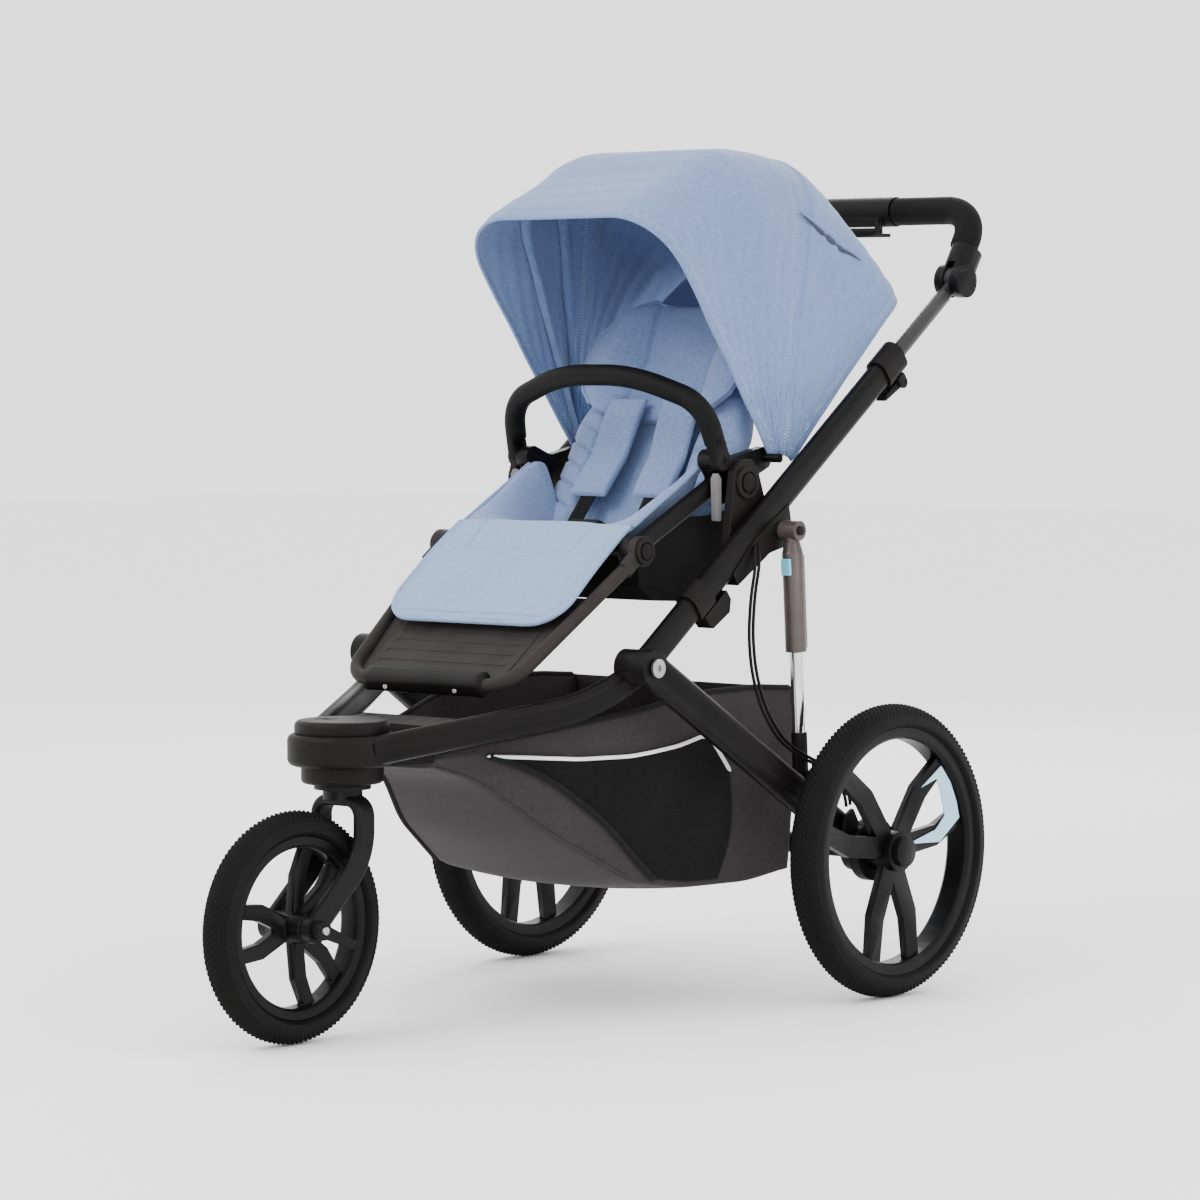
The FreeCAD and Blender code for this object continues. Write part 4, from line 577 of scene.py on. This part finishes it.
vent_angle = np.radians(np.array((83.0, 74.0, 65.5, 57.0)))
vent_reach = np.array((0.327, 0.312, 0.3055, 0.314))
along = np.linspace(0, 1, 40)
vent_lean = np.interp(along, np.linspace(0, 1, 4), vent_angle)
vent_r = np.interp(along, np.linspace(0, 1, 4), vent_reach)
vent_r[2:-2] = np.convolve(vent_r, np.ones(5) / 5, "valid")
for side, name in ((-1, "left"), (1, "right")):
    # The slit is a dark sheet that is painted shadow under the folded lip; the lip is the cloth.
    for part, low_gap, high_gap, out, finish in (("slit", -0.0045, 0.0045, 0.0012, vent_shadow_cloth),
                                                 ("lip", 0.0030, 0.0120, 0.0030, edge_cloth)):
        spread = (np.linspace(low_gap, high_gap, 7)[None, :]
                  * np.sin(math.pi * np.clip(along, 0.02, 0.98))[:, None])
        r = vent_r[:, None] + spread
        rise_out = out * np.sin(math.pi * np.linspace(0.12, 0.88, 7))[None, :] + 0 * r
        x = side * (0.1884 + rise_out)
        points = np.stack((x, CANOPY_PIVOT[0] + 0.004 + r * np.cos(vent_lean[:, None]),
                           CANOPY_PIVOT[1] + r * np.sin(vent_lean[:, None])), -1)
        piece = grid_piece("canopy_vent_" + part + "_" + name, points if side < 0 else points[:, ::-1], finish,
                           uv=arc_uv(points))
        piece_thick = piece.modifiers.new("thickness", "SOLIDIFY")
        piece_thick.thickness = 0.0012
        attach(piece, "seat")


# ------------------------------------------------------------------------------------------------- seat liner
# A padded liner of the same cloth in three parts that follow the seat: the seat trough, the backrest with its
# bolsters, winged headrest and shoulder pads, and the flap over the leg rest.
# The liner's cloth is the hood's cloth set a little lighter, as painted light.
pad_cloth = woven("pad_cloth", (0.185, 0.255, 0.425), (0.120, 0.175, 0.330), 0.0009)
# The leg flap's cloth is the same cloth as the hood and liner, set much lighter as painted light.
flap_cloth_painted_light = woven("flap_cloth_painted_light", (0.225, 0.325, 0.500), (0.155, 0.240, 0.400), 0.0009)
RECLINE = np.array((0.092, 0.572))
back_up = np.array((math.cos(math.radians(58)), math.sin(math.radians(58))))
back_out = np.array((-back_up[1], back_up[0]))


def on_back(x, s, h):
    """Point from x, the distance s up the backrest and the height h in front of its face."""
    return np.stack((x, RECLINE[0] + s * back_up[0] + h * back_out[0],
                     RECLINE[1] + s * back_up[1] + h * back_out[1]), -1)


def cushion(name, place, s, half, front, back, finish, columns=72):
    """Closed cushion over s and v: x = v half(s); the front and back heights meet round the rim.

    The rim factor is (1 - |v|^6)^(1/3) across and the same along s, so the edge is round and the middle full.
    """
    v = np.linspace(-1, 1, columns)[None, :]
    s = s[:, None]
    end = np.linspace(-1, 1, len(s))[:, None]
    rim = (1 - np.abs(v) ** 6) ** (1 / 3) * (1 - np.abs(end) ** 14) ** (1 / 3)
    x = v * half(s)
    top, low = front(x, s, v), back(x, s, v)
    middle = (top + low) / 2
    face = place(x, s + 0 * x, middle + (top - middle) * rim)
    rear = place(x, s + 0 * x, middle + (low - middle) * rim)
    points = np.concatenate((face, rear[:, -2:0:-1]), axis=1)
    return grid_piece(name, points[:, ::-1], finish, wrap_columns=True, uv=arc_uv(points[:, ::-1]))


def back_half(s):
    return 0.143 - 0.014 * ease((s - 0.20) / 0.06)


def back_front(x, s, v):
    """Backrest face: side bolsters 26 mm proud with slanting quilted grooves, and a softly pillowed middle."""
    bolster = ease((np.abs(x) - 0.062) / 0.035) * ease((0.275 - s) / 0.03)
    slant = (s * 1.0 - np.abs(x) * 0.45) / 0.030
    quilt = np.exp(-((slant - np.round(slant)) / 0.085) ** 2) * ease((np.abs(x) - 0.078) / 0.02)
    quilt = quilt * ease((s - 0.055) / 0.02) * ease((0.215 - s) / 0.02)
    seam = np.exp(-((np.abs(x) - 0.066) / 0.003) ** 2) * ease((0.26 - s) / 0.02)
    wave = 0.0016 * np.sin(s * 52 + x * 21) * np.sin(x * 37 + 1.1)
    return 0.002 + 0.026 * bolster - 0.0055 * quilt - 0.004 * seam + wave


back_pad = cushion("backrest_pad", on_back, np.linspace(0.022, 0.300, 150), back_half, back_front,
                   lambda x, s, v: -0.036 + 0 * x, pad_cloth, 150)
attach(back_pad, "backrest")
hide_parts("backrest")


def head_half(s):
    return np.interp(s, (0.215, 0.245, 0.285, 0.325, 0.372, 0.396), (0.098, 0.128, 0.142, 0.140, 0.098, 0.074))


def head_front(x, s, v):
    """Headrest face: wings that come forward beside a hollow for the head, with a seam down each wing."""
    wing = ease((np.abs(x) - 0.045) / 0.06)
    seam = np.exp(-((np.abs(x) - 0.056 - 0.10 * np.abs(s - 0.30)) / 0.003) ** 2)
    return 0.020 + 0.034 * wing - 0.004 * seam + 0.0015 * np.sin(s * 61 + x * 30)


head_pad = cushion("headrest", on_back, np.linspace(0.215, 0.396, 110), head_half, head_front,
                   lambda x, s, v: -0.002 + 0.030 * ease((np.abs(x) - 0.045) / 0.06), pad_cloth, 130)
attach(head_pad, "backrest")
rim_s = np.concatenate((np.linspace(0.222, 0.394, 60), np.full(20, 0.3945), np.linspace(0.394, 0.222, 60)))
rim_x = np.concatenate((-head_half(rim_s[:60]), np.linspace(-0.072, 0.072, 20), head_half(rim_s[80:])))
rim_h = 0.010 + 0.034 * ease((np.abs(rim_x) - 0.045) / 0.06) + 0.001
head_piping = tube_piece("headrest_piping", on_back(rim_x, rim_s, rim_h), 0.0032, edge_cloth)
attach(head_piping, "backrest")

webbing = hard_finish("webbing", (0.004, 0.004, 0.0044), (0.008, 0.008, 0.0084), 0.8, 1100, 0.8)
for side, name in ((-1, "left"), (1, "right")):
    def strap_place(x, s, h, side=side):
        return on_back(x + side * (0.046 + 0.06 * (0.24 - s)), s, h)

    strap = cushion("shoulder_pad_" + name, strap_place, np.linspace(0.085, 0.236, 70), lambda s: 0.031 + 0 * s,
                    lambda x, s, v: 0.034 + 0.0012 * np.sin(s * 70) + 0.10 * np.abs(s - 0.15),
                    lambda x, s, v: 0.021 + 0.10 * np.abs(s - 0.15), pad_cloth, 40)
    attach(strap, "backrest")
    if side < 0:
        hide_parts("shoulder_pads")
    s = np.linspace(0.012, 0.20, 60)
    ribbon_x = side * (0.046 + 0.06 * (0.24 - s))
    ribbon_h = 0.026 + 0.10 * np.abs(s - 0.15)
    widths = np.linspace(-0.0125, 0.0125, 5)
    ribbon = on_back(ribbon_x[:, None] + widths[None, :], s[:, None] + 0 * widths,
                     ribbon_h[:, None] + 0 * widths)
    web = grid_piece("shoulder_webbing_" + name, ribbon, webbing, uv=arc_uv(ribbon))
    web_thick = web.modifiers.new("thickness", "SOLIDIFY")
    web_thick.thickness = 0.0018
    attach(web, "backrest")


def on_seat(x, s, h):
    """Seat trough: s runs back from the front edge; h is the height over a level line through the front edge."""
    y = -0.041 + s
    return np.stack((x, y, 0.6325 + h), -1)


def seat_front(x, s, v):
    """Trough face: the middle dips towards the back while the sides climb with the frame, with two seams."""
    floor = -0.030 * ease((s - 0.02) / 0.10)
    wing = 0.560 * np.clip(s, 0, 0.14)
    side_share = ease((np.abs(x) - 0.090) / 0.052)
    seam = np.exp(-((np.abs(x) - 0.096) / 0.0028) ** 2) * ease((s - 0.02) / 0.02)
    return floor + (wing - floor) * side_share - 0.003 * seam + 0.0012 * np.sin(s * 60 + x * 33) * (s > 0.02)


seat_liner = cushion("seat_liner", on_seat, np.linspace(0.0, 0.158, 90), lambda s: 0.1475 + 0 * s, seat_front,
                     lambda x, s, v: seat_front(x, s, v) - 0.015, pad_cloth, 130)
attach(seat_liner, "seat")
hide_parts("seat_pad")
for side, name in ((-1, "left"), (1, "right")):
    s = np.linspace(0.004, 0.138, 60)
    edge_line = on_seat(side * 0.1470 + 0 * s, s, 0.560 * s - 0.005)
    seat_edge = tube_piece("seat_piping_" + name, edge_line, 0.0034, edge_cloth)
    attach(seat_edge, "seat")

FLAP_LENGTH = 0.196
flap_down = np.array((-0.1535, -0.1213)) / np.hypot(0.1535, 0.1213)
flap_out = np.array((flap_down[1], -flap_down[0]))
FLAP_CORNER = 0.048


def flap_half(s):
    """Half-width of the flap down its length, with quarter-round lower corners."""
    into = np.clip((s - (FLAP_LENGTH - FLAP_CORNER)) / FLAP_CORNER, 0, 1)
    return 0.146 + 0.03 * s - FLAP_CORNER * (1 - np.sqrt(1 - into ** 2))


def on_flap(x, s, h):
    """Point from x, the distance s down the flap and a height h above it; the flap bellies a little."""
    h = h + 0.004 * np.sin(math.pi * s / FLAP_LENGTH)
    return np.stack((x, -0.039 + s * flap_down[0] + h * flap_out[0],
                     0.633 + s * flap_down[1] + h * flap_out[1]), -1)


def flap_front(x, s, v):
    """Flap face: a pillowed patch with an open top inside a rounded U of stitching, and a flat border."""
    from_edge = np.minimum(flap_half(s) - np.abs(x), FLAP_LENGTH - s)
    border = np.exp(-((from_edge - 0.010) / 0.0016) ** 2)
    patch = np.maximum(np.abs(x) - 0.096 + 0.10 * s, s - 0.064)
    channel = np.exp(-(patch / 0.0022) ** 2)
    return (0.005 - 0.0022 * border - 0.0024 * channel + 0.002 * ease(-patch / 0.02)
            + 0.0007 * np.sin(x * 40 + s * 31))


flap = cushion("leg_flap", on_flap, FLAP_LENGTH * np.sin(np.linspace(0, math.pi / 2, 130)), flap_half, flap_front,
               lambda x, s, v: -0.005 + 0 * x, flap_cloth_painted_light, 150)
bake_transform(flap)
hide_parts("legrest_pad")
turns = np.linspace(0, math.pi / 2, 16)
edge_x = np.concatenate((np.full(30, 0.1465) + 0.03 * np.linspace(0, 0.148, 30),
                         0.1029 + FLAP_CORNER * np.cos(turns)))
edge_s = np.concatenate((np.linspace(0, 0.148, 30), 0.148 + FLAP_CORNER * np.sin(turns)))
edge_x = np.concatenate((-edge_x, np.linspace(-0.1, 0.1, 24), edge_x[::-1]))
edge_s = np.concatenate((edge_s, np.full(24, FLAP_LENGTH), edge_s[::-1]))
flap_edge = tube_piece("leg_flap_binding", on_flap(edge_x, edge_s, 0 * edge_x), 0.0040, flap_cloth_painted_light)
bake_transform(flap_edge)

# A ribbed web fills the foot rest out to its tube, and a moulding clips round the front of the tube with two
# screws. The pivots of the seat and the foot rest have round push buttons in a ring.
LEGREST = np.array((-0.049, 0.600))
rest_down = np.array((-0.221, -0.163)) / np.hypot(0.221, 0.163)
rest_up = np.array((rest_down[1], -rest_down[0]))


def on_rest(x, s, h):
    """Point from x, the distance s down the leg rest from its pivot and a height h above its plane."""
    return np.stack((x, LEGREST[0] + s * rest_down[0] + h * rest_up[0],
                     LEGREST[1] + s * rest_down[1] + h * rest_up[1]), -1)


web_s = np.linspace(0.095, 0.2735, 120)
web_panel = cushion("footrest_web", on_rest, web_s, lambda s: 0.1335 + 0.030 * np.clip((0.245 - s) / 0.15, 0, 1),
                    lambda x, s, v: 0.0006 - 0.0016 * (np.sin(s * 2 * math.pi / 0.020) > 0.55) * (np.abs(v) < 0.80),
                    lambda x, s, v: -0.0046 + 0 * x, tray_plastic, 60)
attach(web_panel, "legrest")
clip_x = np.concatenate(((-0.1032, -0.1024), np.linspace(-0.1, 0.1, 20), (0.1024, 0.1032)))[:, None]
clip_turn = np.linspace(0, 2 * math.pi, 40, endpoint=False)[None, :]
clip_swell = 1 - 0.22 * (np.abs(clip_x) > 0.1021) - 0.78 * (np.abs(clip_x) > 0.1030)
clip_u = 0.0150 * np.sign(np.cos(clip_turn)) * np.abs(np.cos(clip_turn)) ** 0.6 * clip_swell
clip_h = 0.0135 * np.sign(np.sin(clip_turn)) * np.abs(np.sin(clip_turn)) ** 0.6 * clip_swell
clip = grid_piece("footrest_clip", on_rest(clip_x + 0 * clip_u, 0.2735 + clip_u, clip_h), moulded_black,
                  wrap_columns=True)
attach(clip, "legrest")


def turned(name, centre, side, profile, finish, body, axis="x"):
    """Round detail turned about an X axis, or about Y: the profile is (distance out, radius) in metres."""
    out, radius = (np.array(c)[:, None] for c in zip(*profile))
    turn = np.linspace(0, 2 * math.pi, 48, endpoint=False)[None, :]
    first, second = radius * np.cos(turn), radius * np.sin(turn)
    along = side * out + 0 * turn
    parts = (along, first, second) if axis == "x" else (second, along, first)
    points = np.stack(parts, -1) + np.array(centre)
    made = grid_piece(name, points if side > 0 else points[:, ::-1], finish, wrap_columns=True)
    made.data.set_sharp_from_angle(angle=math.radians(35))
    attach(made, body)
    return made


ring = ((0.0, 0.0001), (0.0, 0.0215), (0.0030, 0.0215), (0.0042, 0.0203), (0.0042, 0.0150), (0.0022, 0.0146),
        (0.0022, 0.0128), (0.0050, 0.0124), (0.0058, 0.0105), (0.0060, 0.0001))
screw = ((0.0, 0.0001), (0.0, 0.0036), (0.0012, 0.0034), (0.0016, 0.0026), (0.0016, 0.0016), (0.0004, 0.0013),
         (0.0004, 0.0001))
for side, name in ((-1, "left"), (1, "right")):
    turned("seat_button_" + name, (side * 0.1994, 0.134, 0.684), side, ring, moulded_black, "frame")
    turned("legrest_button_" + name, (side * 0.1786, *LEGREST), side,
           tuple((out, 0.82 * radius) for out, radius in ring), moulded_black, "legrest")
    head = on_rest(np.array(side * 0.0605), np.array(0.2735 + 0.0150), np.array(0.0))
    turned("footrest_screw_" + name, tuple(head), -1, screw, plain_steel, "legrest", axis="y")

shell_cloth = hard_finish("shell_cloth", (0.003, 0.003, 0.0034), (0.006, 0.0058, 0.006), 0.9, 1300, 0.7)
softened("seat_shell", shell_cloth, 0.002)

# ------------------------------------------------------------------------------------------------------ basket
# A slung tub of grey pack cloth that sags a little between its hems, with a black net pocket let into each
# side under a reflective piping, and a black binding down the front edge.
grey_cloth = woven("grey_cloth", (0.036, 0.031, 0.033), (0.022, 0.0185, 0.020), 0.0008, 0.6, 0.05)
net_black = woven("net_black", (0.0050, 0.0050, 0.0051), (0.0018, 0.0018, 0.0018), 0.0016, 0.5, 0.02, 0.9)
binding_black = woven("binding_black", (0.010, 0.0096, 0.0096), (0.005, 0.0047, 0.0047), 0.0010, 0.5, 0.02)
reflective = hard_finish("reflective", (0.74, 0.73, 0.75), (0.86, 0.85, 0.87), 0.35, 1500, 0.1, (0.9, 0.9, 0.9))
tub_y = np.array((-0.325, -0.262, -0.182, -0.062, 0.030, 0.160, 0.238))
tub_parts = {
    "top_w": (0.062, 0.088, 0.136, 0.182, 0.190, 0.192, 0.192),
    "top_z": (0.352, 0.362, 0.376, 0.396, 0.412, 0.414, 0.408),
    "low_w": (0.056, 0.082, 0.126, 0.170, 0.182, 0.184, 0.184),
    "low_z": (0.338, 0.314, 0.246, 0.174, 0.160, 0.157, 0.166),
}


def tub_at(y, part):
    """One of the tub's measures at y: its stations joined by straight lines, then averaged over 40 mm."""
    shifts = np.linspace(-0.020, 0.020, 9)
    return sum(np.interp(y + d, tub_y, tub_parts[part]) for d in shifts) / len(shifts)


def tub_wall(y, h, side, out=0.0):
    """Point of a side wall at y, and h from rim (0) to lower corner (1): a straight wall with a soft belly."""
    top_w, top_z, low_w, low_z = (tub_at(y, part) for part in ("top_w", "top_z", "low_w", "low_z"))
    belly = 0.006 * np.sin(math.pi * np.clip(h, 0, 1)) + 0.0014 * np.sin(y * 47 + h * 9) * np.sin(math.pi * h)
    x = top_w + (low_w - top_w) * h + belly + out
    z = top_z + (low_z - top_z) * h
    return np.stack((side * x, y + 0 * h, z), -1)


stations = np.linspace(-0.325, 0.238, 130)[:, None]
heights = np.linspace(0, 1, 40)[None, :]
right_wall = tub_wall(stations, heights, 1)
left_wall = tub_wall(stations, heights, -1)
cross = np.linspace(0, 1, 44)[None, :, None]
floor_row = right_wall[:, -1:] * (1 - cross) + left_wall[:, -1:] * cross
bow = np.sin(math.pi * cross[..., 0])
floor_row[..., 2] -= 0.010 * bow * ease((stations + 0.27) / 0.15) + 0.004 * (bow ** 0.3)
shell_points = np.concatenate((right_wall, floor_row[:, 1:-1], left_wall[:, ::-1]), axis=1)
tub = grid_piece("basket_tub", shell_points, grey_cloth, uv=arc_uv(shell_points))
tub_thick = tub.modifiers.new("thickness", "SOLIDIFY")
tub_thick.thickness = 0.0018
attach(tub, "frame")
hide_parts("basket")
for row, name in ((0, "front"), (-1, "back")):
    rim_row = shell_points[row]
    fan = np.linspace(0, 1, 18)[:, None, None]
    flat_top = rim_row * np.array((1, 1, 0)) + np.array((0, 0, float(rim_row[0, 2])))
    wall = rim_row[None] * (1 - fan) + flat_top[None] * fan
    wall[..., 1] += (0.010 if row else -0.002) * np.sin(math.pi * fan[..., 0]) * np.sin(
        math.pi * np.linspace(0, 1, rim_row.shape[0]))[None, :]
    end_wall = grid_piece("basket_" + name + "_wall", wall if row else wall[:, ::-1], grey_cloth,
                          uv=arc_uv(wall))
    wall_thick = end_wall.modifiers.new("thickness", "SOLIDIFY")
    wall_thick.thickness = 0.0018
    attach(end_wall, "frame")

pipe_y = np.array((-0.262, -0.230, -0.150, -0.080, 0.000, 0.050, 0.066, 0.086, 0.100))
pipe_z = np.array((0.346, 0.344, 0.338, 0.338, 0.347, 0.357, 0.350, 0.322, 0.306))
for side, name in ((-1, "left"), (1, "right")):
    across = np.linspace(0, 1, 90)[:, None]
    down = np.linspace(0, 1, 44)[None, :]
    left_y = -0.262 + 0.232 * down ** 0.92
    right_y = 0.100 + 0.016 * np.sin(math.pi * down) - 0.012 * down
    y = left_y + (right_y - left_y) * across
    top_h = (tub_at(y, "top_z") - np.interp(y, pipe_y, pipe_z)) / (tub_at(y, "top_z") - tub_at(y, "low_z"))
    h = top_h + (0.975 - top_h) * down
    net_points = tub_wall(y, h, side, 0.0035)
    net_points = net_points if side > 0 else net_points[:, ::-1]
    net = grid_piece("basket_net_" + name, net_points, net_black, uv=arc_uv(net_points))
    net_thick = net.modifiers.new("thickness", "SOLIDIFY")
    net_thick.thickness = 0.0014
    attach(net, "frame")
    fine_y = np.linspace(-0.262, 0.100, 120)
    fine_z = np.interp(fine_y, pipe_y, pipe_z)
    fine_z[3:-3] = np.convolve(fine_z, np.ones(7) / 7, "valid")
    fine_h = (tub_at(fine_y, "top_z") - fine_z) / (tub_at(fine_y, "top_z") - tub_at(fine_y, "low_z"))
    piping = tube_piece("basket_piping_" + name, tub_wall(fine_y, fine_h, side, 0.005), 0.0026, reflective)
    hem_h = np.linspace(float(fine_h[0]), 0.985, 70)
    hem_share = (hem_h - fine_h[0]) / (0.985 - fine_h[0])
    hem_points = tub_wall(-0.262 + 0.232 * hem_share ** 0.92, hem_h, side, 0.0042)
    hem = tube_piece("basket_hem_" + name, hem_points, 0.0042, binding_black)
    front_line = tub_wall(np.linspace(-0.322, -0.070, 50), np.full(50, 1.0), side, 0.001)
    front_finish = binding_black if side < 0 else grey_cloth
    front_edge = tube_piece("basket_front_binding_" + name, front_line, 0.0042 if side < 0 else 0.0018,
                            front_finish)
    rim_line = tub_wall(np.linspace(-0.322, 0.236, 100), np.zeros(100), side, 0.0)
    rim_hem = tube_piece("basket_rim_" + name, rim_line, 0.0036, binding_black)
    for piece in (piping, hem, front_edge, rim_hem):
        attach(piece, "frame")
